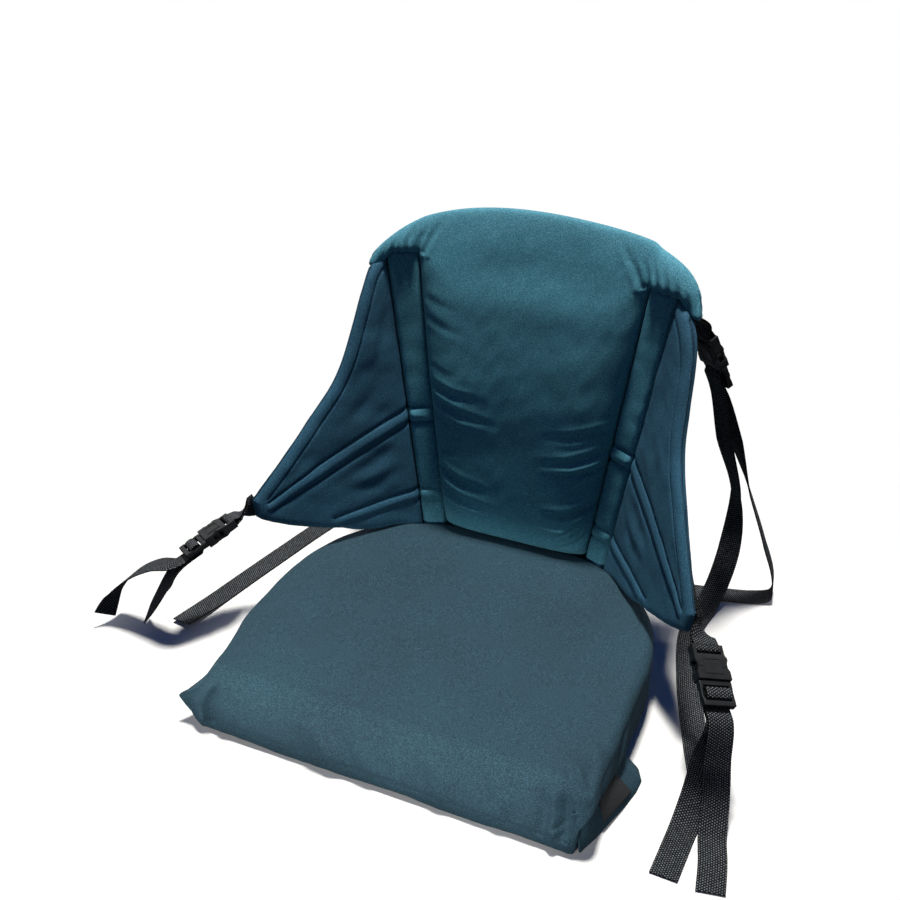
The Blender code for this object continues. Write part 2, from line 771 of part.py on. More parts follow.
def build_strap_set(where, side_name, socket_mesh, plug_mesh, web):
    """One buckle with its tab and its strap."""
    side = 1 if side_name == "right" else -1
    start, end, across = {
        "front": (FRONT_START, FRONT_END, FRONT_ACROSS),
        "rear": (REAR_START, REAR_END, REAR_ACROSS),
    }[where]
    start, end = mirrored(world((start, end)), side)
    across = Vector((across[0], across[1] * side, across[2] * side))
    place = buckle_place(start, end, across)
    for part, mesh in (("socket", socket_mesh), ("plug", plug_mesh)):
        thing = bpy.data.objects.new(f"{where}_{part}_{side_name}", mesh)
        seat.objects.link(thing)
        thing.matrix_world = place

    width_way = place.to_3x3() @ Vector((1.0, 0.0, 0.0))
    tab = tab_samples(place, width_way, tab_root(where, side))
    webbing(f"{where}_tab_{side_name}", tab, web)

    first, second = STRANDS[(where, side_name)]
    points = [Vector(p) for p, _ in reversed(first)] + in_place(place, ladder_route())
    points += [Vector(p) for p, _ in second]
    ladder_ways = [width_way] * len(ladder_route())
    ways = [strand_way(w, width_way) for _, w in reversed(first)] + ladder_ways
    ways += [strand_way(w, width_way) for _, w in second]
    webbing(f"{where}_strap_{side_name}", spline(points, ways, WEB_STEP), web)


def strand_way(way, width_way):
    """A strand's width direction, turned to the same hand as the buckle's."""
    way = Vector(way)
    return way if way.dot(width_way) >= 0 else -way


def main():
    clear_scene()
    cloth = make_material("cushion_cloth", CLOTH_LIT, 0.85)
    back_cloth = make_material("back_cloth", CLOTH, 0.85)
    foam = make_material("foam", FOAM, 0.9)
    web = make_material("webbing", BLACK_WEB, 0.7)
    plastic = make_material("buckle_plastic", BLACK_PLASTIC, 0.4)

    build_cushion(cloth, foam, web)
    build_back_pad(back_cloth)
    for name, side in (("left", -1), ("right", 1)):
        build_strip(f"strip_{name}", side, back_cloth)
        build_wing(f"wing_{name}", side, back_cloth)
    build_rear_panel(back_cloth)
    build_joint_band(back_cloth)
    build_belts(web)
    socket_mesh = build_socket_mesh(plastic)
    plug_mesh = build_plug_mesh(plastic)
    for where in ("front", "rear"):
        for side_name in ("left", "right"):
            build_strap_set(where, side_name, socket_mesh, plug_mesh, web)


main()
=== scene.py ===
import math

import bmesh
import bpy
import numpy as np
from mathutils import Matrix, Vector


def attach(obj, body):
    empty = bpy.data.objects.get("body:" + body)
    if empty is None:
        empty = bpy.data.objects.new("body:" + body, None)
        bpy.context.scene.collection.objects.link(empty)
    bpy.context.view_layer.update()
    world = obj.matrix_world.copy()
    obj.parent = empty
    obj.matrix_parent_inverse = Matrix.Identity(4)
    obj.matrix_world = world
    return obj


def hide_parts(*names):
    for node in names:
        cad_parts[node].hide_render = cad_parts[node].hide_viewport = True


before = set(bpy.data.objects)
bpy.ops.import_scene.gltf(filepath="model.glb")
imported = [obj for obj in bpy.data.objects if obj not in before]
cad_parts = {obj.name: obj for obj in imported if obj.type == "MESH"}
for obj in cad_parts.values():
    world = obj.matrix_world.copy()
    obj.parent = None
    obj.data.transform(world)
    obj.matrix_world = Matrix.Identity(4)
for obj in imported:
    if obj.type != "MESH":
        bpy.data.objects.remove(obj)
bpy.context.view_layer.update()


# ---------- small helpers

def toLinear(code):
    # sRGB hex value to linear light
    values = [int(code[i:i + 2], 16) / 255 for i in (1, 3, 5)]
    return tuple(v / 12.92 if v <= 0.04045 else ((v + 0.055) / 1.055) ** 2.4 for v in values) + (1.0,)


def addNode(tree, kind, links=None, **settings):
    # one node with its settings; links give inputs by name or number, as a socket or a plain value
    node = tree.nodes.new(kind)
    for key, value in settings.items():
        setattr(node, key, value)
    for key, value in (links or {}).items():
        if isinstance(value, bpy.types.NodeSocket):
            tree.links.new(value, node.inputs[key])
        else:
            node.inputs[key].default_value = value
    return node


def newMaterial(name):
    material = bpy.data.materials.new(name)
    material.use_nodes = True
    tree = material.node_tree
    return material, tree, tree.nodes["Principled BSDF"]


def selectOnly(piece):
    bpy.ops.object.select_all(action="DESELECT")
    piece.select_set(True)
    bpy.context.view_layer.objects.active = piece


def applyAll(piece):
    selectOnly(piece)
    for modifier in list(piece.modifiers):
        bpy.ops.object.modifier_apply(modifier=modifier.name)


def faceOutwards(mesh):
    shape = bmesh.new()
    shape.from_mesh(mesh)
    bmesh.ops.recalc_face_normals(shape, faces=shape.faces)
    shape.to_mesh(mesh)
    shape.free()


def meshPiece(name, points, faces, uvs, material):
    # a mesh with a weave UV in metres, one value per point
    mesh = bpy.data.meshes.new(name)
    mesh.from_pydata([tuple(p) for p in points], [], faces)
    layer = mesh.uv_layers.new(name="weave")
    at = np.zeros(len(mesh.loops), dtype=np.int32)
    mesh.loops.foreach_get("vertex_index", at)
    layer.data.foreach_set("uv", np.asarray(uvs, dtype=np.float32)[at].ravel())
    faceOutwards(mesh)
    piece = bpy.data.objects.new(name, mesh)
    bpy.context.scene.collection.objects.link(piece)
    mesh.materials.append(material)
    mesh.shade_smooth()
    return piece


def finishPiece(piece, slot, *nodes):
    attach(piece, "root")
    if nodes:
        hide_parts(*nodes)
    return piece


def lineDistance(points, line):
    # distance of each 2D point to a broken line, and how far along the line its nearest place is
    points, line = np.asarray(points, float), np.asarray(line, float)
    best = np.full(len(points), 1e9)
    along = np.zeros(len(points))
    lengths = np.linalg.norm(np.diff(line, axis=0), axis=1)
    total, done = lengths.sum(), 0.0
    for a, b, length in zip(line, line[1:], lengths):
        way = (b - a) / max(length, 1e-9)
        t = np.clip((points - a) @ way, 0, length)
        gap = np.linalg.norm(points - (a + t[:, None] * way), axis=1)
        near = gap < best
        best[near] = gap[near]
        along[near] = (done + t[near]) / total
        done += length
    return best, along


def crown(distance, reach):
    # 0 at an edge, rising like a quarter circle to 1 at that reach
    share = np.clip(distance / reach, 0, 1)
    return np.sqrt(np.clip(1 - (1 - share) ** 2, 0, 1))


def fold(points, line, depth, width, fade=0.35, fadeEnd=None):
    # a crease with a soft ridge each side; it dies out over this share of its length at the start and at the end
    gap, along = lineDistance(points, line)
    s = gap / width
    ends = np.clip(along / fade, 0, 1) * np.clip((1 - along) / (fadeEnd or fade), 0, 1)
    ends = ends * ends * (3 - 2 * ends)
    return depth * ends * (-np.exp(-s * s) + 0.42 * np.exp(-((s - 1.9) ** 2) / 0.9))


def groove(points, line, depth, width):
    # a stitched channel: narrow at the thread, with the cloth rising softly beside it
    gap, _ = lineDistance(points, line)
    return -depth * (0.55 * np.exp(-(gap / width) ** 2) + 0.45 * np.exp(-gap / (width * 2.2)))


def ripple(points, seed, size):
    # smooth, seeded unevenness between -1 and 1
    rng = np.random.default_rng(seed)
    total = np.zeros(len(points))
    for _ in range(9):
        way = rng.normal(size=points.shape[1])
        way /= np.linalg.norm(way)
        total += np.sin(points @ way * 2 * math.pi / (size * rng.uniform(0.6, 1.6)) + rng.uniform(0, 6.28))
    return total / 9


def latticePiece(name, front, rear, uv, material, inside=None):
    # a closed panel from two matching grids of points, walled round wherever the grid ends
    rows, cols = front.shape[:2]
    if inside is None:
        inside = np.ones((rows - 1, cols - 1), bool)
    points, uvs, faces = [], [], []
    index = -np.ones((2, rows, cols), int)

    def corner(layer, r, c):
        if index[layer, r, c] < 0:
            index[layer, r, c] = len(points)
            points.append((front, rear)[layer][r, c])
            uvs.append(uv[r, c])
        return index[layer, r, c]

    for r in range(rows - 1):
        for c in range(cols - 1):
            if not inside[r, c]:
                continue
            ring = ((r, c), (r, c + 1), (r + 1, c + 1), (r + 1, c))
            faces.append([int(corner(0, *p)) for p in ring])
            faces.append([int(corner(1, *p)) for p in reversed(ring)])
            beside = ((r - 1, c), (r, c + 1), (r + 1, c), (r, c - 1))
            for k, (nr, nc) in enumerate(beside):
                if 0 <= nr < rows - 1 and 0 <= nc < cols - 1 and inside[nr, nc]:
                    continue
                a, b = ring[k], ring[(k + 1) % 4]
                faces.append([int(corner(0, *b)), int(corner(0, *a)), int(corner(1, *a)), int(corner(1, *b))])
    return meshPiece(name, points, faces, uvs, material)


# ---------- materials

def wovenPolyester(name, values):
    # woven polyester cover cloth, plain weave: a matt face with a faint sheen and flecks of lighter yarn
    material, tree, shader = newMaterial(name)
    uv = addNode(tree, "ShaderNodeUVMap", uv_map="weave")
    place = addNode(tree, "ShaderNodeTexCoord")
    split = addNode(tree, "ShaderNodeSeparateXYZ", {0: uv.outputs[0]})
    turns = 2 * math.pi / (values["threadMm"] * 0.001)
    across = addNode(tree, "ShaderNodeMath", {0: split.outputs[0], 1: turns}, operation="MULTIPLY")
    along = addNode(tree, "ShaderNodeMath", {0: split.outputs[1], 1: turns}, operation="MULTIPLY")
    warp = addNode(tree, "ShaderNodeMath", {0: across.outputs[0]}, operation="SINE")
    weft = addNode(tree, "ShaderNodeMath", {0: along.outputs[0]}, operation="SINE")
    weave = addNode(tree, "ShaderNodeMath", {0: warp.outputs[0], 1: weft.outputs[0]}, operation="MULTIPLY")
    fleck = addNode(tree, "ShaderNodeTexNoise", {"Vector": place.outputs["Object"],
                    "Scale": 1000 / values["fleckMm"], "Detail": 2.0, "Roughness": 0.6})
    cloud = addNode(tree, "ShaderNodeTexNoise", {"Vector": place.outputs["Object"],
                    "Scale": 1000 / values["cloudMm"], "Detail": 3.0})
    yarn = addNode(tree, "ShaderNodeValToRGB", {0: fleck.outputs["Fac"]})
    stops = yarn.color_ramp.elements
    stops[0].position, stops[0].color = 0.30, toLinear(values["dark"])
    stops[1].position, stops[1].color = 0.74, toLinear(values["light"])
    middle = stops.new(0.5)
    middle.color = toLinear(values["cloth"])
    shade = addNode(tree, "ShaderNodeMapRange", {0: cloud.outputs["Fac"], 1: 0.3, 2: 0.7, 3: 0.88, 4: 1.1})
    mottled = addNode(tree, "ShaderNodeVectorMath", {0: yarn.outputs[0], 1: shade.outputs[0]}, operation="MULTIPLY")
    tree.links.new(mottled.outputs[0], shader.inputs["Base Color"])
    height = addNode(tree, "ShaderNodeMath", {0: weave.outputs[0], 1: fleck.outputs["Fac"]}, operation="ADD")
    bump = addNode(tree, "ShaderNodeBump", {"Height": height.outputs[0], "Strength": values["bump"],
                   "Distance": 0.00025})
    tree.links.new(bump.outputs[0], shader.inputs["Normal"])
    rough = addNode(tree, "ShaderNodeMapRange", {0: fleck.outputs["Fac"], 3: 0.92, 4: 0.74})
    tree.links.new(rough.outputs[0], shader.inputs["Roughness"])
    shader.inputs["Specular IOR Level"].default_value = 0.35
    shader.inputs["Sheen Weight"].default_value = values["sheen"]
    shader.inputs["Sheen Roughness"].default_value = 0.45
    shader.inputs["Sheen Tint"].default_value = toLinear(values["light"])
    return material


def nylonWebbing(name, values):
    # woven nylon webbing, 1 inch: fine cross ribs over lengthwise cords, black, with a painted grey highlight on the
    # raised spots
    material, tree, shader = newMaterial(name)
    uv = addNode(tree, "ShaderNodeUVMap", uv_map="weave")
    place = addNode(tree, "ShaderNodeTexCoord")
    split = addNode(tree, "ShaderNodeSeparateXYZ", {0: uv.outputs[0]})
    cords = addNode(tree, "ShaderNodeMath", {0: split.outputs[0], 1: math.pi / (values["cordMm"] * 0.001)},
                    operation="MULTIPLY")
    cordWave = addNode(tree, "ShaderNodeMath", {0: cords.outputs[0]}, operation="SINE")
    cordSide = addNode(tree, "ShaderNodeMath", {0: cordWave.outputs[0]}, operation="SIGN")
    cordRound = addNode(tree, "ShaderNodeMath", {0: cordWave.outputs[0]}, operation="ABSOLUTE")
    turns = 2 * math.pi / (values["ribMm"] * 0.001)
    step = addNode(tree, "ShaderNodeMath", {0: split.outputs[1], 1: turns}, operation="MULTIPLY")
    offset = addNode(tree, "ShaderNodeMath", {0: cordSide.outputs[0], 1: math.pi / 2, 2: step.outputs[0]},
                     operation="MULTIPLY_ADD")
    rib = addNode(tree, "ShaderNodeMath", {0: offset.outputs[0]}, operation="SINE")
    ribUp = addNode(tree, "ShaderNodeMapRange", {0: rib.outputs[0], 1: -1.0, 2: 1.0, 3: 0.0, 4: 1.0})
    pattern = addNode(tree, "ShaderNodeMath", {0: ribUp.outputs[0], 1: cordRound.outputs[0]}, operation="MULTIPLY")
    fuzz = addNode(tree, "ShaderNodeTexNoise", {"Vector": place.outputs["Object"], "Scale": 900.0, "Detail": 2.0})
    worn = addNode(tree, "ShaderNodeTexNoise", {"Vector": place.outputs["Object"], "Scale": 22.0, "Detail": 3.0})
    # painted highlight: the raised spots of the ribs are coloured grey, the black is the webbing's own colour
    ribHighlight = addNode(tree, "ShaderNodeMath", {0: pattern.outputs[0], 1: fuzz.outputs["Fac"]}, operation="MULTIPLY")
    ramp = addNode(tree, "ShaderNodeValToRGB", {0: ribHighlight.outputs[0]})
    stops = ramp.color_ramp.elements
    stops[0].position, stops[0].color = 0.17, toLinear(values["dark"])
    stops[1].position, stops[1].color = 0.60, toLinear(values["light"])
    tone = addNode(tree, "ShaderNodeMapRange", {0: worn.outputs["Fac"], 1: 0.3, 2: 0.7, 3: 0.8, 4: 1.15})
    shaded = addNode(tree, "ShaderNodeVectorMath", {0: ramp.outputs[0], 1: tone.outputs[0]}, operation="MULTIPLY")
    tree.links.new(shaded.outputs[0], shader.inputs["Base Color"])
    bump = addNode(tree, "ShaderNodeBump", {"Height": pattern.outputs[0], "Strength": 0.8, "Distance": 0.0005})
    tree.links.new(bump.outputs[0], shader.inputs["Normal"])
    shader.inputs["Roughness"].default_value = 0.7
    shader.inputs["Specular IOR Level"].default_value = 0.12
    return material


def acetalPlastic(name, values):
    # injection-moulded acetal buckle: satin black with a very fine spark texture and soft scuffs
    material, tree, shader = newMaterial(name)
    place = addNode(tree, "ShaderNodeTexCoord")
    grain = addNode(tree, "ShaderNodeTexNoise", {"Vector": place.outputs["Object"], "Scale": 1000 / 0.35,
                    "Detail": 2.0})
    scuff = addNode(tree, "ShaderNodeTexNoise", {"Vector": place.outputs["Object"], "Scale": 160.0, "Detail": 5.0,
                    "Roughness": 0.65})
    colour = addNode(tree, "ShaderNodeValToRGB", {0: scuff.outputs["Fac"]})
    stops = colour.color_ramp.elements
    stops[0].position, stops[0].color = 0.35, toLinear(values["dark"])
    stops[1].position, stops[1].color = 0.75, toLinear(values["light"])
    tree.links.new(colour.outputs[0], shader.inputs["Base Color"])
    rough = addNode(tree, "ShaderNodeMapRange", {0: scuff.outputs["Fac"], 1: 0.3, 2: 0.75, 3: 0.34, 4: 0.52})
    tree.links.new(rough.outputs[0], shader.inputs["Roughness"])
    bump = addNode(tree, "ShaderNodeBump", {"Height": grain.outputs["Fac"], "Strength": 0.25, "Distance": 0.0001})
    tree.links.new(bump.outputs[0], shader.inputs["Normal"])
    shader.inputs["IOR"].default_value = 1.48
    shader.inputs["Specular IOR Level"].default_value = values["gloss"]
    return material


def hookTape(name, values):
    # hook-and-loop tape: black nylon ground with rows of tiny loops
    material, tree, shader = newMaterial(name)
    place = addNode(tree, "ShaderNodeTexCoord")
    cells = addNode(tree, "ShaderNodeTexVoronoi", {"Vector": place.outputs["Object"], "Scale": 1000 / 1.1})
    ramp = addNode(tree, "ShaderNodeValToRGB", {0: cells.outputs["Distance"]})
    stops = ramp.color_ramp.elements
    stops[0].position, stops[0].color = 0.1, toLinear(values["light"])
    stops[1].position, stops[1].color = 0.6, toLinear(values["dark"])
    tree.links.new(ramp.outputs[0], shader.inputs["Base Color"])
    bump = addNode(tree, "ShaderNodeBump", {"Height": cells.outputs["Distance"], "Strength": 0.7,
                   "Distance": -0.0004})
    tree.links.new(bump.outputs[0], shader.inputs["Normal"])
    shader.inputs["Roughness"].default_value = 0.9
    return material


def closedCellFoam(name, values):
    # closed-cell foam core: pale grey with a fine cell structure
    material, tree, shader = newMaterial(name)
    place = addNode(tree, "ShaderNodeTexCoord")
    cells = addNode(tree, "ShaderNodeTexVoronoi", {"Vector": place.outputs["Object"], "Scale": 1000 / 0.9})
    ramp = addNode(tree, "ShaderNodeValToRGB", {0: cells.outputs["Distance"]})
    ramp.color_ramp.elements[0].color = toLinear(values["light"])
    ramp.color_ramp.elements[1].color = toLinear(values["dark"])
    tree.links.new(ramp.outputs[0], shader.inputs["Base Color"])
    bump = addNode(tree, "ShaderNodeBump", {"Height": cells.outputs["Distance"], "Strength": 0.4,
                   "Distance": 0.0003})
    tree.links.new(bump.outputs[0], shader.inputs["Normal"])
    shader.inputs["Roughness"].default_value = 0.95
    return material


# the cushion's copy of the cover cloth: the same fabric, painted darker than the back's copy
cushionClothPaintedShade = wovenPolyester("wovenPolyesterCushionPaintedShade", {
    "cloth": "#1e3944", "light": "#3d626e", "dark": "#0f262f",
    "threadMm": 1.3, "fleckMm": 0.9, "cloudMm": 90, "bump": 0.4, "sheen": 0.03,
})
# the back's copy of the cover cloth: the same fabric, painted lighter and more teal so that the top roll looks lit
backClothPaintedLight = wovenPolyester("wovenPolyesterBackPaintedLight", {
    "cloth": "#458695", "light": "#76b6c3", "dark": "#296274",
    "threadMm": 1.3, "fleckMm": 0.9, "cloudMm": 90, "bump": 0.4, "sheen": 0.03,
})
# the wings' copy of the cover cloth: the same fabric, darkened and blued with painted shade
wingClothPaintedShade = wovenPolyester("wovenPolyesterWingPaintedShade", {
    "cloth": "#26546a", "light": "#48798b", "dark": "#153a4e",
    "threadMm": 1.3, "fleckMm": 0.9, "cloudMm": 90, "bump": 0.4, "sheen": 0.03,
})
# the webbing's light grey is a painted highlight on its raised ribs
webbingNylon = nylonWebbing("nylonWebbingBlack", {"dark": "#020203", "light": "#94999c", "cordMm": 2.1, "ribMm": 2.6})
bucklePlastic = acetalPlastic("acetalBlack", {"dark": "#07080a", "light": "#131518", "gloss": 0.22})
tapeNylon = hookTape("hookTapeBlack", {"dark": "#0d0e10", "light": "#2c2e31"})
foamCore = closedCellFoam("closedCellFoamGrey", {"dark": "#7c8083", "light": "#9da1a3"})
threadNylon = acetalPlastic("bondedThreadNavy", {"dark": "#12303f", "light": "#2c5364", "gloss": 0.2})
print("materials ready")


# ---------- back: the front faces' seams, measured up the height

back = {
    "foot": 0.0695, "rollFoot": 0.362, "top": 0.4235, "lean": 0.083, "seamAt": 0.172,
    "halfFoot": 0.086, "halfHead": 0.122, "rollHalf": 0.1655,
    "stripFoot": 0.028, "stripHead": 0.034, "stripTurn": math.radians(23), "wingTurn": math.radians(51.5),
    "depth": 0.015,
}


def backLine(z):
    return back["seamAt"] + back["lean"] * (z - back["foot"])


def upShare(z):
    return (z - back["foot"]) / (back["rollFoot"] - back["foot"])


def turned(angle):
    return np.array([math.cos(angle), -math.sin(angle), 0.0])


def outward(angle):
    return np.array([math.sin(angle), math.cos(angle), 0.0])


def stack(x, y, z):
    return np.stack(np.broadcast_arrays(x, y, z), axis=-1)


def innerSeam(z):
    z = np.asarray(z, float)
    return stack(back["halfFoot"] + (back["halfHead"] - back["halfFoot"]) * upShare(z), backLine(z), z)


def outerSeam(z):
    width = back["stripFoot"] + (back["stripHead"] - back["stripFoot"]) * upShare(np.asarray(z, float))
    return innerSeam(z) + turned(back["stripTurn"]) * width[..., None]


def mitre(first, second):
    return outward((first + second) / 2) / math.cos((second - first) / 2)


def innerRear(z, depth):
    return innerSeam(z) + mitre(0.0, back["stripTurn"]) * depth


def outerRear(z, depth):
    return outerSeam(z) + mitre(back["stripTurn"], back["wingTurn"]) * depth


def wingFront(reach, z):
    return outerSeam(z) + turned(back["wingTurn"]) * np.asarray(reach, float)[..., None]


def mirrorX(points, side):
    return points * np.array([side, 1.0, 1.0])


# ---------- centre pad and its top roll

pad = {
    "bulge": 0.0210, "edgeSink": 0.0030, "sideReach": 0.044, "footReach": 0.050, "fullAt": 0.235,
    "rollBulge": 0.0105, "rollReach": 0.014, "topReach": 0.050, "step": 0.0018, "rollRows": 38,
    "rollHalf": 0.1725, "curl": 0.0110, "rollStep": 0.0095, "rollDrop": 0.0160, "lean": 0.0055,
    # creases that run in from the side seams: places (x, z) on the face, depth, width
    "creases": [
        ([(-0.112, 0.331), (-0.088, 0.325), (-0.060, 0.322)], 0.0009, 0.0042),
        ([(-0.110, 0.311), (-0.080, 0.302), (-0.048, 0.298)], 0.0010, 0.0040),
        ([(-0.104, 0.262), (-0.080, 0.256), (-0.056, 0.256)], 0.0007, 0.0036),
        ([(-0.102, 0.241), (-0.070, 0.234), (-0.028, 0.233)], 0.0016, 0.0042),
        ([(-0.101, 0.226), (-0.060, 0.214), (-0.010, 0.210)], 0.0022, 0.0040),
        ([(-0.099, 0.208), (-0.070, 0.199), (-0.044, 0.197)], 0.0012, 0.0038),
        ([(-0.093, 0.170), (-0.074, 0.166), (-0.052, 0.167)], 0.0007, 0.0035),
        ([(-0.091, 0.146), (-0.060, 0.134), (-0.018, 0.129)], 0.0024, 0.0046),
        ([(-0.089, 0.124), (-0.056, 0.112), (-0.008, 0.108)], 0.0026, 0.0044),
        ([(-0.087, 0.104), (-0.050, 0.096), (-0.016, 0.096)], 0.0020, 0.0040),
        ([(0.026, 0.208), (0.062, 0.214), (0.107, 0.229)], 0.0014, 0.0040),
        ([(0.024, 0.176), (0.066, 0.186), (0.104, 0.204)], 0.0022, 0.0042),
        ([(0.030, 0.164), (0.070, 0.172), (0.103, 0.186)], 0.0020, 0.0038),
        ([(0.056, 0.146), (0.078, 0.150), (0.098, 0.160)], 0.0010, 0.0034),
        ([(0.030, 0.116), (0.066, 0.122), (0.097, 0.138)], 0.0034, 0.0046),
        ([(0.026, 0.107), (0.064, 0.110), (0.096, 0.124)], 0.0026, 0.0038),
        ([(0.038, 0.084), (0.066, 0.096), (0.094, 0.122)], 0.0040, 0.0046),
        ([(0.052, 0.078), (0.074, 0.086), (0.093, 0.104)], 0.0030, 0.0042),
    ],
    # gathers that rise from the roll's lower seam, over the strips
    "gathers": [
        ([(-0.162, 0.358), (-0.158, 0.376), (-0.156, 0.383)], 0.0022, 0.0026),
        ([(-0.151, 0.360), (-0.147, 0.380), (-0.143, 0.393)], 0.0030, 0.0026),
        ([(-0.143, 0.362), (-0.140, 0.380), (-0.138, 0.389)], 0.0022, 0.0022),
        ([(-0.134, 0.362), (-0.131, 0.384), (-0.126, 0.399)], 0.0032, 0.0027),
        ([(-0.125, 0.364), (-0.119, 0.386), (-0.111, 0.401)], 0.0032, 0.0028),
        ([(-0.116, 0.370), (-0.108, 0.389), (-0.096, 0.407)], 0.0022, 0.0032),
        ([(0.100, 0.391), (0.094, 0.405), (0.090, 0.417)], 0.0012, 0.0026),
        ([(0.118, 0.370), (0.108, 0.387), (0.096, 0.407)], 0.0022, 0.0032),
        ([(0.127, 0.364), (0.120, 0.383), (0.110, 0.405)], 0.0030, 0.0028),
        ([(0.136, 0.362), (0.130, 0.386), (0.122, 0.403)], 0.0032, 0.0026),
        ([(0.145, 0.362), (0.140, 0.384), (0.133, 0.399)], 0.0028, 0.0024),
        ([(0.154, 0.360), (0.149, 0.382), (0.143, 0.393)], 0.0028, 0.0024),
        ([(0.163, 0.358), (0.159, 0.376), (0.155, 0.385)], 0.0022, 0.0026),
    ],
}


def smoothStep(value, low, high):
    t = np.clip((value - low) / (high - low), 0, 1)
    return t * t * (3 - 2 * t)


def rollTop(x):
    # the shoulder on the sitter's left is fuller, as the photo shows
    share = np.clip(np.abs(x) / (pad["rollHalf"] + 0.0007), 0, 1)
    fuller = smoothStep(x, 0.0, 0.175)
    arch = (1 - share ** (2.1 + 0.75 * fuller)) ** (0.61 - 0.17 * fuller)
    return back["rollFoot"] + (back["top"] - back["rollFoot"]) * arch


def rollFoot(x):
    # lower seam of the roll: it steps up over the strips' tops and drops over the wings' top corners
    step = pad["rollStep"] * smoothStep(np.abs(x), back["halfHead"] - 0.0005, back["halfHead"] + 0.004)
    return back["rollFoot"] + step - pad["rollDrop"] * smoothStep(np.abs(x), 0.148, 0.171)


def endTurn(x):
    # how far the roll's ends come forward, to follow the strips and wings
    beyond = np.clip(np.abs(x), back["halfHead"], 0.153) - back["halfHead"]
    far = np.clip(np.abs(x) - 0.153, 0, None)
    return beyond * math.tan(back["stripTurn"]) + far * 0.5


def padLevels(flat):
    # front and rear offset from the back's line, and the seam's own shift, at places (x, z)
    footLine = [(x, float(rollFoot(x))) for x in np.linspace(back["halfHead"], pad["rollHalf"], 16)]
    gaps = []
    for side in (-1, 1):
        line = [(back["halfFoot"] * side, back["foot"])] + [(x * side, z) for x, z in footLine]
        gaps.append(lineDistance(flat, line)[0])
    sideGap = np.minimum(*gaps)
    xs = np.linspace(-pad["rollHalf"], pad["rollHalf"], 70)
    topGap = lineDistance(flat, [(x, float(rollTop(x))) for x in xs])[0]
    footGap = flat[:, 1] - back["foot"]
    high = smoothStep(flat[:, 1], 0.335, 0.380)
    out = smoothStep(np.abs(flat[:, 0]), back["halfHead"] - 0.004, back["halfHead"] + 0.010)
    reach = pad["sideReach"] + (pad["rollReach"] - pad["sideReach"]) * high
    full = pad["bulge"] + (pad["rollBulge"] - pad["bulge"]) * smoothStep(flat[:, 1], pad["fullAt"], 0.385)
    full = full + 0.002 * out - 0.004 * smoothStep(np.abs(flat[:, 0]), 0.142, 0.172)
    front = full * crown(sideGap, reach) ** 0.8 * (0.30 + 0.70 * crown(footGap, pad["footReach"]))
    front += 0.0025 * np.exp(-((flat[:, 0] / 0.10) ** 2)) * (1 - high)
    sink = pad["edgeSink"] * (1 - 0.9 * out) * np.exp(-sideGap / 0.004)
    front = (front + 0.001 + 0.004 * out) * crown(topGap, pad["topReach"]) - sink
    rim = crown(topGap, 0.012)
    for line, depth, width in pad["creases"]:
        soft = 0.5 if line[0][1] > 0.25 else 1.5 if line[0][0] < 0 else 2.0
        ends = (0.10, 0.80) if line[0][0] < 0 else (0.80, 0.10)
        front += fold(flat, line, depth * soft, width, *ends)
    for line, depth, width in pad["gathers"]:
        front += fold(flat, line, depth * 0.8, width, 0.06, 0.70) * rim
    front += (0.0007 * ripple(flat, 3, 0.055) + 0.0003 * ripple(flat, 4, 0.02)) * rim
    rear = (back["depth"] - 0.006 * smoothStep(flat[:, 1], 0.345, 0.40)) * (0.04 + 0.96 * crown(topGap, 0.034))
    rear -= 0.0060 * (1 - crown(sideGap, 0.010)) * out * rim
    rear = np.maximum(rear, 0.0005)
    front = np.maximum(front, 0.0006 - rear)
    seam = pad["curl"] * smoothStep(flat[:, 1], 0.325, 0.425) * (1 - out * 0.5) - endTurn(flat[:, 0]) * smoothStep(flat[:, 1], 0.345, 0.362)
    return front, rear, seam


def buildPad():
    step = pad["step"]
    inner = int(round(back["halfHead"] / step))
    ends = int(round((pad["rollHalf"] - back["halfHead"]) / step))
    bodyRows = int(round((back["rollFoot"] - back["foot"]) / step))
    rollRows = pad["rollRows"]
    c, r = np.meshgrid(np.arange(-(inner + ends), inner + ends + 1), np.arange(bodyRows + rollRows + 1))
    body = r <= bodyRows
    z = back["foot"] + (back["rollFoot"] - back["foot"]) * np.clip(r / bodyRows, 0, 1)
    half = np.where(body, innerSeam(z)[..., 0], back["halfHead"]) - 0.0003
    x = np.clip(c / inner, -1, 1) * half
    x = x + np.sign(c) * np.clip((np.abs(c) - inner) / ends, 0, 1) * (pad["rollHalf"] - half)
    t = np.clip((r - bodyRows) / rollRows, 0, 1)
    low = rollFoot(x)
    z = np.where(body & (np.abs(c) <= inner), z, low + (rollTop(x) - low) * t)
    inside = np.ones((c.shape[0] - 1, c.shape[1] - 1), bool)
    inside[:bodyRows, :ends] = False
    inside[:bodyRows, c.shape[1] - 1 - ends:] = False
    flat = np.stack([x.ravel(), z.ravel()], 1)
    front, rear, seam = padLevels(flat)
    line = backLine(flat[:, 1]) + seam
    across = flat[:, 0] + pad["lean"] * smoothStep(np.abs(flat[:, 0]), 0.12, 0.165)
    frontPoints = np.stack([across, line - front, flat[:, 1]], 1).reshape(*x.shape, 3)
    rearPoints = np.stack([across, line + rear, flat[:, 1]], 1).reshape(*x.shape, 3)
    piece = latticePiece("backPad", frontPoints, rearPoints, np.stack([x, z], -1), backClothPaintedLight, inside)
    finishPiece(piece, "back_cloth", "back_pad")


buildPad()
print("centre pad")


# ---------- sewing thread: short stitches that lie along a line of places

thread = {"length": 0.0030, "gap": 0.0012, "radius": 0.00032, "sides": 6}


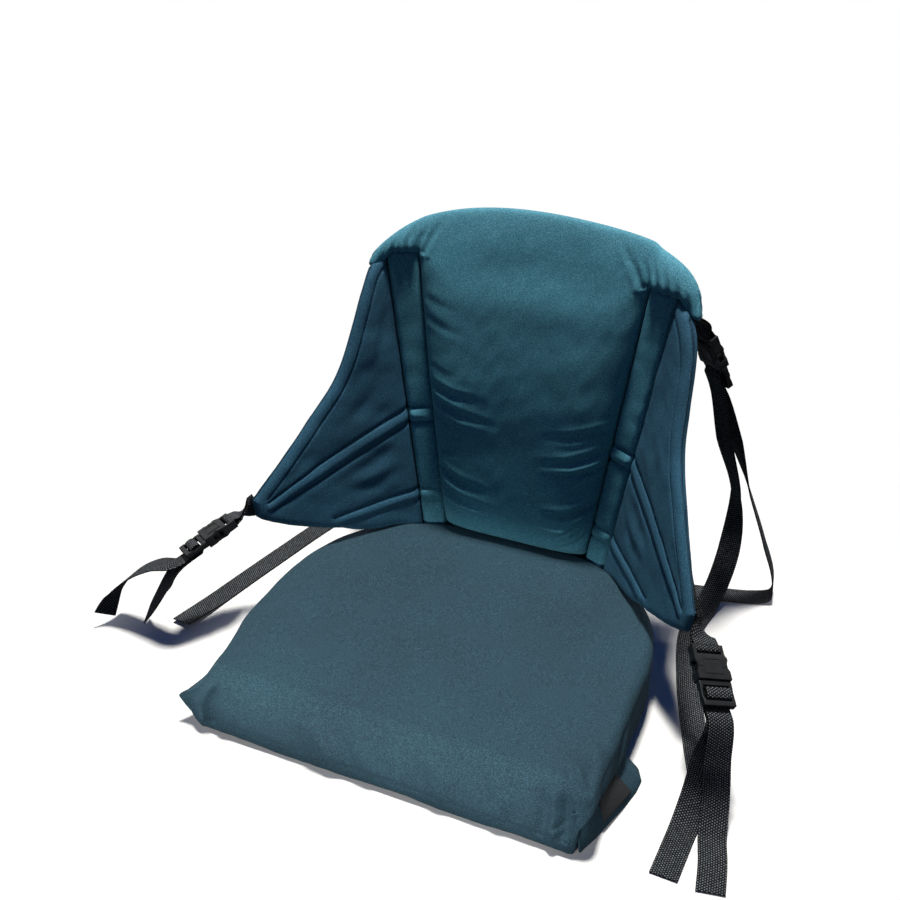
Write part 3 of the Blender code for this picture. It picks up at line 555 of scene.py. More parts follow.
def stitchRow(name, rows, material, slot):
    # rows: lists of (places, outward directions), one list for each line of stitching
    points, faces = [], []
    rings = ((0.0, 0.35), (0.18, 0.9), (0.5, 1.0), (0.82, 0.9), (1.0, 0.35))
    sides = thread["sides"]
    for places, normals in rows:
        places, normals = np.asarray(places, float), np.asarray(normals, float)
        if normals.ndim == 1:
            normals = np.tile(normals, (len(places), 1))
        lengths = np.concatenate([[0], np.cumsum(np.linalg.norm(np.diff(places, axis=0), axis=1))])
        pitch = thread["length"] + thread["gap"]
        for k in range(int(lengths[-1] / pitch)):
            ends = []
            for at in (k * pitch, k * pitch + thread["length"]):
                spot = np.array([np.interp(at, lengths, places[:, i]) for i in range(3)])
                face = np.array([np.interp(at, lengths, normals[:, i]) for i in range(3)])
                ends.append((spot, face / np.linalg.norm(face)))
            way = ends[1][0] - ends[0][0]
            way /= max(np.linalg.norm(way), 1e-9)
            first = len(points)
            for share, size in rings:
                spot = ends[0][0] * (1 - share) + ends[1][0] * share
                face = ends[0][1] * (1 - share) + ends[1][1] * share
                cross = np.cross(way, face)
                arch = math.sin(share * math.pi) * thread["radius"] * 0.9
                for q in range(sides):
                    a = 2 * math.pi * q / sides
                    r = thread["radius"] * size
                    points.append(spot + face * (arch + r * math.sin(a)) + cross * r * math.cos(a))
            for n in range(len(rings) - 1):
                for q in range(sides):
                    j = (q + 1) % sides
                    faces.append([first + n * sides + q, first + n * sides + j,
                                  first + (n + 1) * sides + j, first + (n + 1) * sides + q])
            faces.append([first + q for q in reversed(range(sides))])
            faces.append([first + (len(rings) - 1) * sides + q for q in range(sides)])
    piece = meshPiece(name, points, faces, np.zeros((len(points), 2)), material)
    return finishPiece(piece, slot)


def alongLine(line, step=0.002):
    # a broken line of 2D places, filled in evenly
    line = np.asarray(line, float)
    lengths = np.concatenate([[0], np.cumsum(np.linalg.norm(np.diff(line, axis=0), axis=1))])
    even = np.linspace(0, lengths[-1], max(2, int(lengths[-1] / step)))
    return np.stack([np.interp(even, lengths, line[:, 0]), np.interp(even, lengths, line[:, 1])], 1)


# ---------- strips beside the pad, stitched through where the belts are sewn on behind

strips = {
    "lines": [(0.2070, 0.2045), (0.1900, 0.1865), (0.1090, 0.1085), (0.0950, 0.0945)],   # z at the inner and outer seam
    "crown": 0.0040, "edgeReach": 0.007, "sink": 0.0026, "grooveDepth": 0.0052, "grooveWidth": 0.0014,
    "head": 0.3720, "foot": 0.0575, "cols": 28, "step": 0.0011,
}


def stripPlace(w, z):
    width = back["stripFoot"] + (back["stripHead"] - back["stripFoot"]) * upShare(z)
    return innerSeam(z) + turned(back["stripTurn"]) * (0.0003 + w * (width - 0.0006))[..., None], width


def stripLift(flat, width, side):
    edge = np.minimum(flat[:, 0], width - flat[:, 0])
    lift = strips["crown"] * crown(edge, strips["edgeReach"]) - strips["sink"] * np.exp(-edge / 0.002)
    lift *= 0.5 + 0.5 * crown(flat[:, 1] - strips["foot"], 0.01)
    for a, b in strips["lines"]:
        lift += groove(flat, [(-0.002, a), (0.036, b)], strips["grooveDepth"], strips["grooveWidth"])
    for a, b in (strips["lines"][0:2], strips["lines"][2:4]):
        mid = (a[0] + b[0] + a[1] + b[1]) / 4
        lift += 0.0018 * np.exp(-((flat[:, 1] - mid) / 0.0048) ** 2) * crown(edge, 0.006)
    lift += 0.0006 * ripple(flat, 11 + side, 0.035)
    lift -= 0.0035 * (1 - crown(strips["head"] - flat[:, 1], 0.010))
    return lift


def buildStrip(side, name):
    rows = int((strips["head"] - strips["foot"]) / strips["step"])
    z, w = np.meshgrid(np.linspace(strips["foot"], strips["head"], rows), np.linspace(0, 1, strips["cols"]),
                       indexing="ij")
    base, width = stripPlace(w, z)
    flat = np.stack([(w * width).ravel(), z.ravel()], 1)
    lift = stripLift(flat, width.ravel(), side)
    front = base - outward(back["stripTurn"]) * lift.reshape(w.shape)[..., None]
    gap = turned(back["stripTurn"]) * 0.0003
    rear = (innerRear(z, back["depth"]) + gap) * (1 - w)[..., None] + (outerRear(z, back["depth"]) - gap) * w[..., None]
    piece = latticePiece(name, mirrorX(front, side), mirrorX(rear, side), np.stack([w * width, z], -1), backClothPaintedLight)
    finishPiece(piece, "back_cloth", "strip_left" if side < 0 else "strip_right")
    rows = []
    normal = -outward(back["stripTurn"])
    for a, b in strips["lines"]:
        w = np.linspace(0.06, 0.94, 16)
        z = a + (b - a) * w
        base, width = stripPlace(w, z)
        lift = stripLift(np.stack([w * width, z], 1), width, side)
        rows.append((mirrorX(base + normal * (lift + 0.0002)[:, None], side), normal * [side, 1, 1]))
    stitchRow(name + "Stitching", rows, threadNylon, "back_cloth")


# ---------- wings, quilted along the belts and top-stitched round the edge

wings = {
    # reach from the strip, then the height of the lower and upper edge
    "shape": [(0.000, 0.0565, 0.3700), (0.010, 0.0600, 0.3660), (0.021, 0.0665, 0.3580), (0.034, 0.0690, 0.3390),
              (0.044, 0.0698, 0.3180), (0.054, 0.0708, 0.2945), (0.063, 0.0722, 0.2740), (0.072, 0.0742, 0.2570),
              (0.082, 0.0770, 0.2430), (0.096, 0.0832, 0.2285), (0.111, 0.0870, 0.2140), (0.132, 0.0945, 0.1930),
              (0.154, 0.1030, 0.1720), (0.172, 0.1120, 0.1560), (0.183, 0.1185, 0.1465), (0.188, 0.1235, 0.1400)],
    "upper": [[(-0.002, 0.2055), (0.055, 0.1865), (0.110, 0.1650), (0.172, 0.1365)],
              [(-0.002, 0.1885), (0.059, 0.1665), (0.109, 0.1480), (0.170, 0.1265)]],
    "lower": [[(-0.002, 0.1090), (0.048, 0.1060), (0.104, 0.1005)], [(-0.002, 0.0945), (0.040, 0.0930), (0.090, 0.0890)]],
    # soft folds that fan out from the strip and the tip
    "folds": [([(0.004, 0.330), (0.018, 0.290), (0.030, 0.250)], 0.0010, 0.0060),
              ([(0.010, 0.170), (0.050, 0.152), (0.095, 0.140)], 0.0012, 0.0070),
              ([(0.012, 0.140), (0.050, 0.128), (0.090, 0.122)], 0.0010, 0.0065),
              ([(0.020, 0.245), (0.050, 0.220), (0.080, 0.196)], 0.0010, 0.0075),
              ([(0.110, 0.186), (0.136, 0.165), (0.160, 0.150)], 0.0008, 0.0050)],
    "topStitchInset": 0.0115, "thick": 0.012, "edgeThick": 0.006,
    "puff": 0.0034, "grooveDepth": 0.0036, "grooveWidth": 0.0012, "cols": 130, "rows": 190, "lean": 0.0055,
}


def wingOutline():
    table = np.array(wings["shape"])
    fine = np.linspace(0, table[-1, 0], 90)
    low, high = np.interp(fine, table[:, 0], table[:, 1]), np.interp(fine, table[:, 0], table[:, 2])
    smooth = np.convolve(np.pad(high, 3, mode="edge"), np.ones(7) / 7, mode="valid")
    return fine, low, np.where(fine < 0.004, high, smooth)


wingFine, wingLow, wingHigh = wingOutline()
wingEdge = np.array(list(zip(wingFine, wingHigh)) + [(wingFine[-1], wingLow[-1])])


def insetLine(line, gap):
    way = np.gradient(line, axis=0)
    way /= np.linalg.norm(way, axis=1)[:, None]
    return line + np.stack([way[:, 1], -way[:, 0]], 1) * gap


wingTopStitch = insetLine(wingEdge[2:86], wings["topStitchInset"])


def wingLean(flat):
    # both wings' upper edges lean the same way, to the sitter's left, as the photo shows
    amount = wings["lean"] * smoothStep(flat[:, 1], 0.21, 0.33) * smoothStep(flat[:, 0], 0.004, 0.035)
    return np.stack([amount, 0 * amount, 0 * amount], 1)


def wingPuff(flat, side):
    outerGap = lineDistance(flat, wingEdge)[0]
    lowGap = lineDistance(flat, np.stack([wingFine, wingLow], 1))[0]
    edge = np.minimum(np.minimum(outerGap, lowGap), flat[:, 0] + 0.0005)
    puff = wings["puff"] * crown(edge, 0.011) - 0.0018 * np.exp(-edge / 0.0025)
    puff += groove(flat, wingTopStitch, 0.0016, 0.0011)
    for line in wings["upper"] + wings["lower"]:
        puff += groove(flat, line, wings["grooveDepth"], wings["grooveWidth"])
    for one, two in (wings["upper"], wings["lower"]):
        middle = [((a[0] + b[0]) / 2, (a[1] + b[1]) / 2) for a, b in zip(one, two)]
        gap = lineDistance(flat, middle)[0]
        puff += 0.0012 * np.exp(-(gap / 0.0046) ** 2)
    for line, depth, width in wings["folds"]:
        puff += fold(flat, line, depth, width, 0.4)
    puff += 0.0012 * ripple(flat, 21 + side, 0.06) + 0.0005 * ripple(flat, 25 + side, 0.022)
    rim = np.minimum(outerGap, lowGap)
    return puff - 0.0022 * (1 - crown(rim, 0.008)), rim


def buildWing(side, name):
    s, t = np.meshgrid(np.linspace(0, wingFine[-1], wings["cols"]), np.linspace(0, 1, wings["rows"]), indexing="ij")
    lowAt, highAt = np.interp(s, wingFine, wingLow), np.interp(s, wingFine, wingHigh)
    z = lowAt + (highAt - lowAt) * t
    flat = np.stack([s.ravel(), z.ravel()], 1)
    puff, rim = wingPuff(flat, side)
    thick = wings["thick"] + (wings["edgeThick"] - wings["thick"]) * np.clip(flat[:, 0] / 0.186, 0, 1) ** 2
    under = thick * (0.30 + 0.70 * crown(rim, 0.008)) - 0.0005
    under += 0.0005 * ripple(flat, 31 + side, 0.05)
    normal = outward(back["wingTurn"])
    base = wingFront(s, z).reshape(-1, 3) + turned(back["wingTurn"]) * 0.0003
    front = base - normal * puff[:, None]
    seamRear = outerRear(z, back["depth"]).reshape(-1, 3) + turned(back["wingTurn"]) * 0.0003
    blend = np.clip(flat[:, 0] / 0.020, 0, 1)[:, None]
    rear = (base + normal * under[:, None]) * blend + seamRear * (1 - blend)
    shape = (*s.shape, 3)
    lean = wingLean(flat)
    piece = latticePiece(name, (mirrorX(front, side) + lean).reshape(shape), (mirrorX(rear, side) + lean).reshape(shape),
                         np.stack([s, z], -1), wingClothPaintedShade)
    finishPiece(piece, "back_cloth", "wing_left" if side < 0 else "wing_right")
    rows = []
    for line in [wingTopStitch] + wings["upper"] + wings["lower"]:
        flat = alongLine(line)
        flat = flat[(flat[:, 0] > 0.003)]
        inside = flat[:, 1] > np.interp(flat[:, 0], wingFine, wingLow) + 0.003
        flat = flat[inside]
        puff, _ = wingPuff(flat, side)
        places = wingFront(flat[:, 0], flat[:, 1]) - normal * (puff + 0.0002)[:, None]
        rows.append((mirrorX(places, side) + wingLean(flat), -normal * [side, 1, 1]))
    stitchRow(name + "Stitching", rows, threadNylon, "back_cloth")


for side, name in ((-1, "Left"), (1, "Right")):
    buildStrip(side, "strip" + name)
    buildWing(side, "wing" + name)
print("strips and wings")


# ---------- rear cover of the back, with its hem, and the band that joins it to the cushion

rearCover = {"foot": 0.004, "head": 0.356, "thick": 0.0036, "gap": 0.0003, "hem": 0.008, "cols": 120, "rows": 150,
             "bandHalf": 0.050, "bandFoot": 0.010, "bandHead": 0.043}


def rearPlace(q, z, depth):
    # q runs along the rear from the left outer seam to the right one
    near, far = innerRear(z, depth), outerRear(z, depth)
    side = np.where(q < 0, -1.0, 1.0)
    amount = np.abs(q)
    flatShare = 0.76
    t = np.clip((amount - flatShare) / (1 - flatShare), 0, 1)[..., None]
    plan = near * (1 - t) + far * t
    x = np.where(amount < flatShare, near[..., 0] * amount / flatShare, plan[..., 0]) * side
    y = np.where(amount < flatShare, near[..., 1], plan[..., 1])
    return np.stack([x, y, z], -1)


def rearBulge(flat):
    halfWide = 0.135 + 0.03 * upShare(flat[:, 1])
    edge = np.minimum(halfWide - np.abs(flat[:, 0]), np.minimum(flat[:, 1] - rearCover["foot"],
                      rearCover["head"] - flat[:, 1]))
    edge = np.clip(edge, 0, None)
    bulge = rearCover["thick"] * (0.45 + 0.55 * crown(edge, 0.004))
    bulge -= 0.0011 * np.exp(-((edge - rearCover["hem"]) / 0.0014) ** 2)
    bulge += 0.0006 * ripple(flat, 61, 0.07) * smoothStep(edge, 0.006, 0.03)
    return bulge


def buildRearCover():
    q, z = np.meshgrid(np.linspace(-1, 1, rearCover["cols"]), np.linspace(rearCover["foot"], rearCover["head"],
                       rearCover["rows"]), indexing="xy")
    depth = back["depth"] + rearCover["gap"]
    inner = rearPlace(q, z, depth)
    flat = np.stack([inner[..., 0].ravel(), z.ravel()], 1)
    bulge = rearBulge(flat).reshape(q.shape)
    outer = inner + (rearPlace(q, z, depth + 0.001) - inner) * (bulge / 0.001)[..., None]
    piece = latticePiece("rearCover", outer, inner, np.stack([inner[..., 0], z], -1), backClothPaintedLight)
    finishPiece(piece, "back_cloth", "rear_panel")
    rows = []
    hem = rearCover["hem"]
    low, high = rearCover["foot"] + hem, rearCover["head"] - hem
    for line in ([(-0.93, low), (0.93, low)], [(-0.935, high), (0.935, high)],
                 [(-0.93, low), (-0.935, high)], [(0.93, low), (0.935, high)]):
        t = np.linspace(0, 1, 160)
        qs = line[0][0] + (line[1][0] - line[0][0]) * t
        zs = line[0][1] + (line[1][1] - line[0][1]) * t
        inner = rearPlace(qs, zs, depth)
        bulge = rearBulge(np.stack([inner[:, 0], zs], 1))
        way = rearPlace(qs, zs, depth + 0.001) - inner
        places = inner + way * ((bulge + 0.0001) / 0.001)[:, None]
        rows.append((places, way / np.linalg.norm(way, axis=1)[:, None]))
    stitchRow("rearCoverStitching", rows, threadNylon, "back_cloth")


def cushionRear(x):
    share = 1 - (np.abs(x) / 0.205) ** 2.4
    return 0.178 * share ** (1 / 2.4)


def buildJointBand():
    x, z = np.meshgrid(np.linspace(-rearCover["bandHalf"], rearCover["bandHalf"], 50),
                       np.linspace(rearCover["bandFoot"], rearCover["bandHead"], 22), indexing="xy")
    sag = 0.0020 * np.sin((z - rearCover["bandFoot"]) / (rearCover["bandHead"] - rearCover["bandFoot"]) * math.pi)
    front = np.stack([x, cushionRear(x) + 0.0004 + sag * 0.2, z], -1)
    rear = np.stack([x, backLine(z) + back["depth"] - 0.0002 - sag * 0.2, z], -1)
    piece = latticePiece("jointBand", front, rear, np.stack([x, z], -1), backClothPaintedLight)
    finishPiece(piece, "back_cloth", "joint_band")


buildRearCover()
buildJointBand()
print("rear cover")


# ---------- cushion in its loose cover

cushion = {
    "width": 0.410, "depth": 0.356, "height": 0.068, "round": 2.4, "edge": 0.011, "setback": 0.022, "corner": 0.012,
    "count": 640, "topRows": 52, "wallRows": 34, "flapRows": 20, "underRows": 14, "crown": 0.0018, "shear": 0.006,
    "hemBack": 0.0040, "drawIn": 0.010, "earTip": (-0.2170, -0.1680, 0.030), "recess": 0.0036, "hemLine": 30, "foamInset": 0.012,
    # the mouth on the right: y, height of the upper flap's hem, reach of the lower lip
    "mouth": [(-0.1760, 0.0440, 0.2030), (-0.1640, 0.0440, 0.2050), (-0.1480, 0.0440, 0.2110), (-0.1280, 0.0370, 0.2165), (-0.1040, 0.0285, 0.2235),
              (-0.0800, 0.0205, 0.2285), (-0.0640, 0.0160, 0.2290), (-0.0520, 0.0120, 0.2225), (-0.0420, 0.0060, 0.2080)],
    # folds as lines of places, with depth (a ridge when below zero) and width
    "folds": [
        ([(-0.174, -0.157, 0.060), (-0.179, -0.167, 0.032), (-0.183, -0.174, 0.004)], 0.0050, 0.0042),
        ([(-0.193, -0.156, 0.062), (-0.203, -0.165, 0.042), (-0.202, -0.171, 0.014)], 0.0040, 0.0040),
        ([(-0.160, -0.150, 0.067), (-0.163, -0.163, 0.038), (-0.158, -0.172, 0.014)], 0.0018, 0.0075),
        ([(-0.074, -0.157, 0.054), (-0.050, -0.166, 0.030), (-0.032, -0.173, 0.012)], 0.0024, 0.0100),
        ([(-0.020, -0.160, 0.045), (0.004, -0.172, 0.012)], 0.0014, 0.0080),
        ([(0.054, -0.155, 0.057), (0.070, -0.165, 0.032), (0.066, -0.173, 0.010)], 0.0015, 0.0090),
        ([(0.120, -0.154, 0.060), (0.130, -0.164, 0.034), (0.124, -0.172, 0.012)], 0.0018, 0.0070),
        ([(0.174, -0.152, 0.062), (0.179, -0.162, 0.038), (0.180, -0.172, 0.010)], 0.0052, 0.0056),
        ([(0.176, -0.170, 0.018), (0.187, -0.168, 0.024), (0.199, -0.163, 0.036)], 0.0024, 0.0030),
        ([(0.192, -0.095, 0.067), (0.199, -0.128, 0.058), (0.205, -0.155, 0.050)], 0.0026, 0.0060),
        ([(0.184, -0.128, 0.069), (0.194, -0.146, 0.064), (0.203, -0.158, 0.052)], 0.0024, 0.0046),
        ([(0.204, -0.050, 0.052), (0.206, -0.078, 0.036), (0.207, -0.100, 0.030)], 0.0016, 0.0060),
    ],
    # soft swellings: centre, radius, height
    "swells": [((0.191, -0.164, 0.042), 0.014, 0.0042),
               ((-0.190, -0.168, 0.030), 0.008, 0.0030), ((-0.120, -0.158, 0.050), 0.030, 0.0020),
               ((0.030, -0.158, 0.050), 0.035, 0.0022), ((0.100, -0.158, 0.050), 0.022, 0.0018)],
}


def cushionRing(count, inset=0.0):
    # plan of the cushion as points spaced evenly round it, starting at the rear middle
    half, reach, power = cushion["width"] / 2 - inset, cushion["depth"] / 2 - inset, 2 / cushion["round"]
    pts = []
    for i in range(361):
        a = math.pi / 2 - math.pi / 2 * i / 360
        pts.append((math.cos(a) ** power * half, max(math.sin(a), 0) ** power * reach))
    c = cushion["corner"]
    pts.append((half, -reach + c))
    for i in range(1, 13):
        a = math.pi / 2 * i / 12
        pts.append((half - c + c * math.cos(a), -reach + c - c * math.sin(a)))
    pts.append((0.0, -reach))
    right = np.array(pts)
    left = right[::-1] * [-1, 1]
    ring = np.vstack([right, left[1:-1]])
    closed = np.vstack([ring, ring[:1]])
    length = np.concatenate([[0], np.cumsum(np.linalg.norm(np.diff(closed, axis=0), axis=1))])
    even = np.linspace(0, length[-1], count + 1)[:-1]
    return np.stack([np.interp(even, length, closed[:, 0]), np.interp(even, length, closed[:, 1])], 1)


def mouthAt(y, column):
    table = np.array(cushion["mouth"])
    return np.interp(y, table[:, 0], table[:, column])


def gridNormals(points):
    # outward normals of a closed ring grid, from its neighbours
    around = np.roll(points, -1, axis=1) - np.roll(points, 1, axis=1)
    down = np.gradient(points, axis=0)
    normal = np.cross(down, around)
    normal /= np.maximum(np.linalg.norm(normal, axis=2, keepdims=True), 1e-12)
    return normal


def slope(level, y):
    # the front leans back as it rises, and its foot stands a little behind the corner
    share = np.clip(-y, 0, None) / (cushion["depth"] / 2)
    up = np.clip((level + 0.004) / (cushion["height"] + 0.004), 0, 1)
    back = cushion["setback"] * up ** 2.4
    return (cushion["hemBack"] + back) * share ** 1.6


def buildCover():
    count, edge, height = cushion["count"], cushion["edge"], cushion["height"]
    ring = cushionRing(count)
    way = np.roll(ring, -1, axis=0) - np.roll(ring, 1, axis=0)
    out = np.stack([-way[:, 1], way[:, 0]], 1)
    out /= np.linalg.norm(out, axis=1)[:, None]
    inner = ring - out * edge
    mouth = smoothStep(ring[:, 0], 0.190, 0.199) * smoothStep(-ring[:, 1], 0.038, 0.050)
    mouth *= 1 - smoothStep(-ring[:, 1], 0.171, 0.1765)
    hem = mouthAt(ring[:, 1], 1)
    plans, levels, drops = [], [], []

    def addRow(plan, level, drop):
        plans.append(plan)
        levels.append(np.broadcast_to(level, (count,)).astype(float))
        drops.append(drop)

    for share in np.linspace(0, 1, cushion["topRows"]) ** 0.75:
        if share < 1:
            addRow(inner * share, height, inner * share)
    for a in np.linspace(0, math.pi / 2, 10):
        addRow(inner + out * edge * math.sin(a), height - edge * (1 - math.cos(a)), inner + out * edge * a)
    rows, flaps = cushion["wallRows"], cushion["flapRows"]
    top, low = height - edge, 0.009
    hemRow = 0
    for i in range(1, rows):
        level = np.full(count, top - (top - low) * i / rows)
        if i <= flaps:
            open_ = top - (top - hem) * i / flaps
            push = 0.0024 * math.sin(math.pi * 0.62 * i / flaps) * mouth
        else:
            t = (i - flaps - 1) / (rows - flaps - 1)
            open_ = (hem - 0.0016) * (1 - t) + low * t
            push = -cushion["recess"] * mouth
        level = level * (1 - mouth) + open_ * mouth
        groove_ = 0.0009 * math.exp(-((i - cushion["hemLine"]) / 0.8) ** 2) * (1 - mouth)
        if i == cushion["hemLine"]:
            hemRow = len(plans)
        if i == flaps - 2:
            flapRow = len(plans)
        addRow(ring + out * (push - groove_)[:, None], level, inner + out * (edge * 1.57 + top - level)[:, None])
    for a in np.linspace(0, math.pi / 2, 8):
        recess = out * (cushion["recess"] * mouth)[:, None]
        addRow(ring - out * low * (1 - math.cos(a)) * 0.35 - recess, low * (1 - math.sin(a)),
               inner + out * (edge * 1.57 + top - low + low * a))
    for share in np.linspace(1, 0, cushion["underRows"])[1:]:
        addRow((ring - out * 0.0032) * share, 0.0, ring * share)
    plan, level = np.array(plans), np.array(levels)
    x, y, z = plan[..., 0], plan[..., 1], level
    onTop = smoothStep(z, height - 0.003, height - 0.0005)
    gap = np.linalg.norm(np.clip(np.abs(plan) - [0.15, 0.12], 0, None), axis=2)
    z = z + cushion["crown"] * onTop * (1 - smoothStep(gap, 0.0, 0.055))
    y = y + slope(z, y)
    x = x + cushion["shear"] * smoothStep(-y, -0.02, 0.15) * smoothStep(z, 0.0, height)
    x = x + cushion["drawIn"] * smoothStep(-y, 0.06, 0.13) * smoothStep(-x, 0.150, 0.200) * smoothStep(z, 0.030, 0.060)
    front = smoothStep(-y, 0.142, 0.160) * (1 - smoothStep(np.abs(x), 0.186, 0.200))
    line = np.stack([x.ravel(), 0 * x.ravel()], 1)
    lift = 0.0014 + 0.0034 * ripple(line, 71, 0.10).reshape(x.shape) + 0.0010 * ripple(line, 72, 0.026).reshape(x.shape)
    z = z + np.clip(lift, 0, None) * (1 - smoothStep(z, 0.0, 0.034)) * front
    points = np.stack([x, y, z], 2)
    normals = gridNormals(points)
    flat = points.reshape(-1, 3)
    push = np.zeros(len(flat))
    upper = smoothStep(flat[:, 2], 0.006, 0.016)
    for places, depth, width in cushion["folds"]:
        push += fold(flat, places, depth * 1.9, width, 0.30)
    for centre, radius, high in cushion["swells"]:
        push += high * np.exp(-(np.linalg.norm(flat - centre, axis=1) / radius) ** 2)
    # the front face fills out below its top crease
    push += 0.0012 * np.exp(-((flat[:, 2] - 0.030) / 0.014) ** 2) * front.ravel()
    push += 0.0009 * ripple(flat, 81, 0.085) + 0.0004 * ripple(flat, 82, 0.030)
    points = (flat + normals.reshape(-1, 3) * (push * upper)[:, None]).reshape(points.shape)
    # the dog ear at the left corner: the level where it stands out furthest is pulled to its tip
    tip = np.array(cushion["earTip"])
    near = np.exp(-(((points[..., 0] + 0.200) / 0.019) ** 2 + ((points[..., 1] + 0.166) / 0.020) ** 2) * 0.9)
    share = np.clip(1 - np.abs(points[..., 2] - tip[2]) / 0.036, 0, 1)
    pull = (near * share)[..., None] * [0.95, 0.8, 0.0]
    points = points + (tip - points) * pull
    points[..., 0] += 0.013 * near * (1 - share)
    points[..., 2] = np.maximum(points[..., 2], 0.0)
    total = points.shape[0]
    index = np.arange(total * count).reshape(total, count)
    nextOne = np.roll(index, -1, axis=1)
    faces = np.stack([index[:-1], nextOne[:-1], nextOne[1:], index[1:]], -1).reshape(-1, 4).tolist()
    piece = meshPiece("cushionCover", points.reshape(-1, 3), faces, np.array(drops).reshape(-1, 2), cushionClothPaintedShade)
    shape = bmesh.new()
    shape.from_mesh(piece.data)
    bmesh.ops.remove_doubles(shape, verts=shape.verts, dist=0.00002)
    bmesh.ops.recalc_face_normals(shape, faces=shape.faces)
    shape.to_mesh(piece.data)
    shape.free()
    piece.data.shade_smooth()
    finishPiece(piece, "seat_cloth", "seat_cover")
    lines = []
    line, facing = points[hemRow], gridNormals(points)[hemRow]
    near = np.flatnonzero((line[:, 1] < -0.150) & (np.abs(line[:, 0]) < 0.176))
    near = near[np.argsort(line[near, 0])]
    lines.append((line[near] + facing[near] * 0.0003, facing[near]))
    line, facing = points[flapRow], gridNormals(points)[flapRow]
    near = np.flatnonzero((line[:, 0] > 0.19) & (line[:, 1] < -0.050) & (line[:, 1] > -0.160))
    near = near[np.argsort(line[near, 1])]
    lines.append((line[near] + facing[near] * 0.0003, facing[near]))
    stitchRow("cushionStitching", lines, threadNylon, "seat_cloth")


def lipPlace(y, v):
    # lower lip of the mouth: it stands on the floor outside the cushion and leans in under the upper flap's hem
    reach, high = mouthAt(y, 2), mouthAt(y, 1) + 0.0016
    innerX = np.minimum(0.2055, reach - 0.001) - 0.010 * smoothStep(-y, 0.155, 0.168)
    flat = np.stack([y.ravel(), (v * 0.03).ravel()], 1)
    wave = 0.0009 * ripple(flat, 91, 0.030).reshape(y.shape)
    x = innerX + (reach - innerX) * (1 - v ** 1.5) + wave * np.sin(v * math.pi)
    return np.stack([x, y, 0.0006 + (high - 0.0006) * v], -1)


def buildMouth():
    y, v = np.meshgrid(np.linspace(-0.1660, -0.0425, 90), np.linspace(0, 1, 26), indexing="ij")
    front = lipPlace(y, v)
    rear = front - np.array([0.0018, 0, 0]) - np.array([0, 0, 0.0004]) * v[..., None]
    piece = latticePiece("mouthLip", front, rear, np.stack([y, v * 0.03], -1), cushionClothPaintedShade)
    finishPiece(piece, "seat_cloth")
    y, v = np.meshgrid(np.linspace(-0.1330, -0.0860, 44), np.linspace(0.24, 0.90, 16), indexing="ij")
    base = lipPlace(y, v)
    edge = np.minimum(np.minimum(y + 0.1330, -0.0860 - y), np.minimum(v - 0.24, 0.90 - v) * 0.03)
    high = 0.0004 + 0.0013 * crown(edge, 0.0012)
    piece = latticePiece("mouthTape", base + np.stack([high, 0 * high, high * 0.5], -1), base + [0.0001, 0, 0],
                         np.stack([y, v * 0.03], -1), tapeNylon)
    finishPiece(piece, "hook_tape", "mouth_tape")


def buildFoam():
    # foam core inside the cover, a rounded block of the cover's own plan
    count, inset, height = 160, cushion["foamInset"], cushion["height"] - cushion["foamInset"]
    ring = cushionRing(count, inset)
    rows = [ring * s for s in (0.0, 0.5, 0.9)]
    levels = [height, height, height]
    for a in np.linspace(0, math.pi / 2, 5):
        rows.append(ring * (1 - 0.04 * (1 - math.sin(a))))
        levels.append(height - 0.008 * (1 - math.cos(a)))
    for a in np.linspace(0, math.pi / 2, 5):
        rows.append(ring * (1 - 0.03 * (1 - math.cos(a))))
        levels.append(0.003 + 0.006 * (1 - math.sin(a)))
    rows.append(ring * 0.0)
    levels.append(0.003)
    points = []
    for plan, level in zip(rows, levels):
        # it stands clear of the cover where the cover is drawn in at the left
        clear = 0.026 * np.exp(-((plan[:, 0] + 0.195) / 0.035) ** 2) * smoothStep(-plan[:, 1], 0.03, 0.13)
        points.append(np.stack([plan[:, 0] + clear, plan[:, 1] + slope(np.full(count, level), plan[:, 1]) * 1.1,
                                np.full(count, level)], 1))
    points = np.array(points)
    index = np.arange(len(rows) * count).reshape(len(rows), count)
    nextOne = np.roll(index, -1, axis=1)
    faces = np.stack([index[:-1], nextOne[:-1], nextOne[1:], index[1:]], -1).reshape(-1, 4).tolist()
    piece = meshPiece("seatFoam", points.reshape(-1, 3), faces, points.reshape(-1, 3)[:, :2], foamCore)
    shape = bmesh.new()
    shape.from_mesh(piece.data)
    bmesh.ops.remove_doubles(shape, verts=shape.verts, dist=0.00002)
    bmesh.ops.recalc_face_normals(shape, faces=shape.faces)
    shape.to_mesh(piece.data)
    shape.free()
    finishPiece(piece, "foam", "seat_foam")


buildCover()
buildMouth()
buildFoam()
print("cushion cover")


# ---------- webbing

webbing = {"width": 0.0254, "thick": 0.0014, "step": 0.0035, "ease": 0.0007}


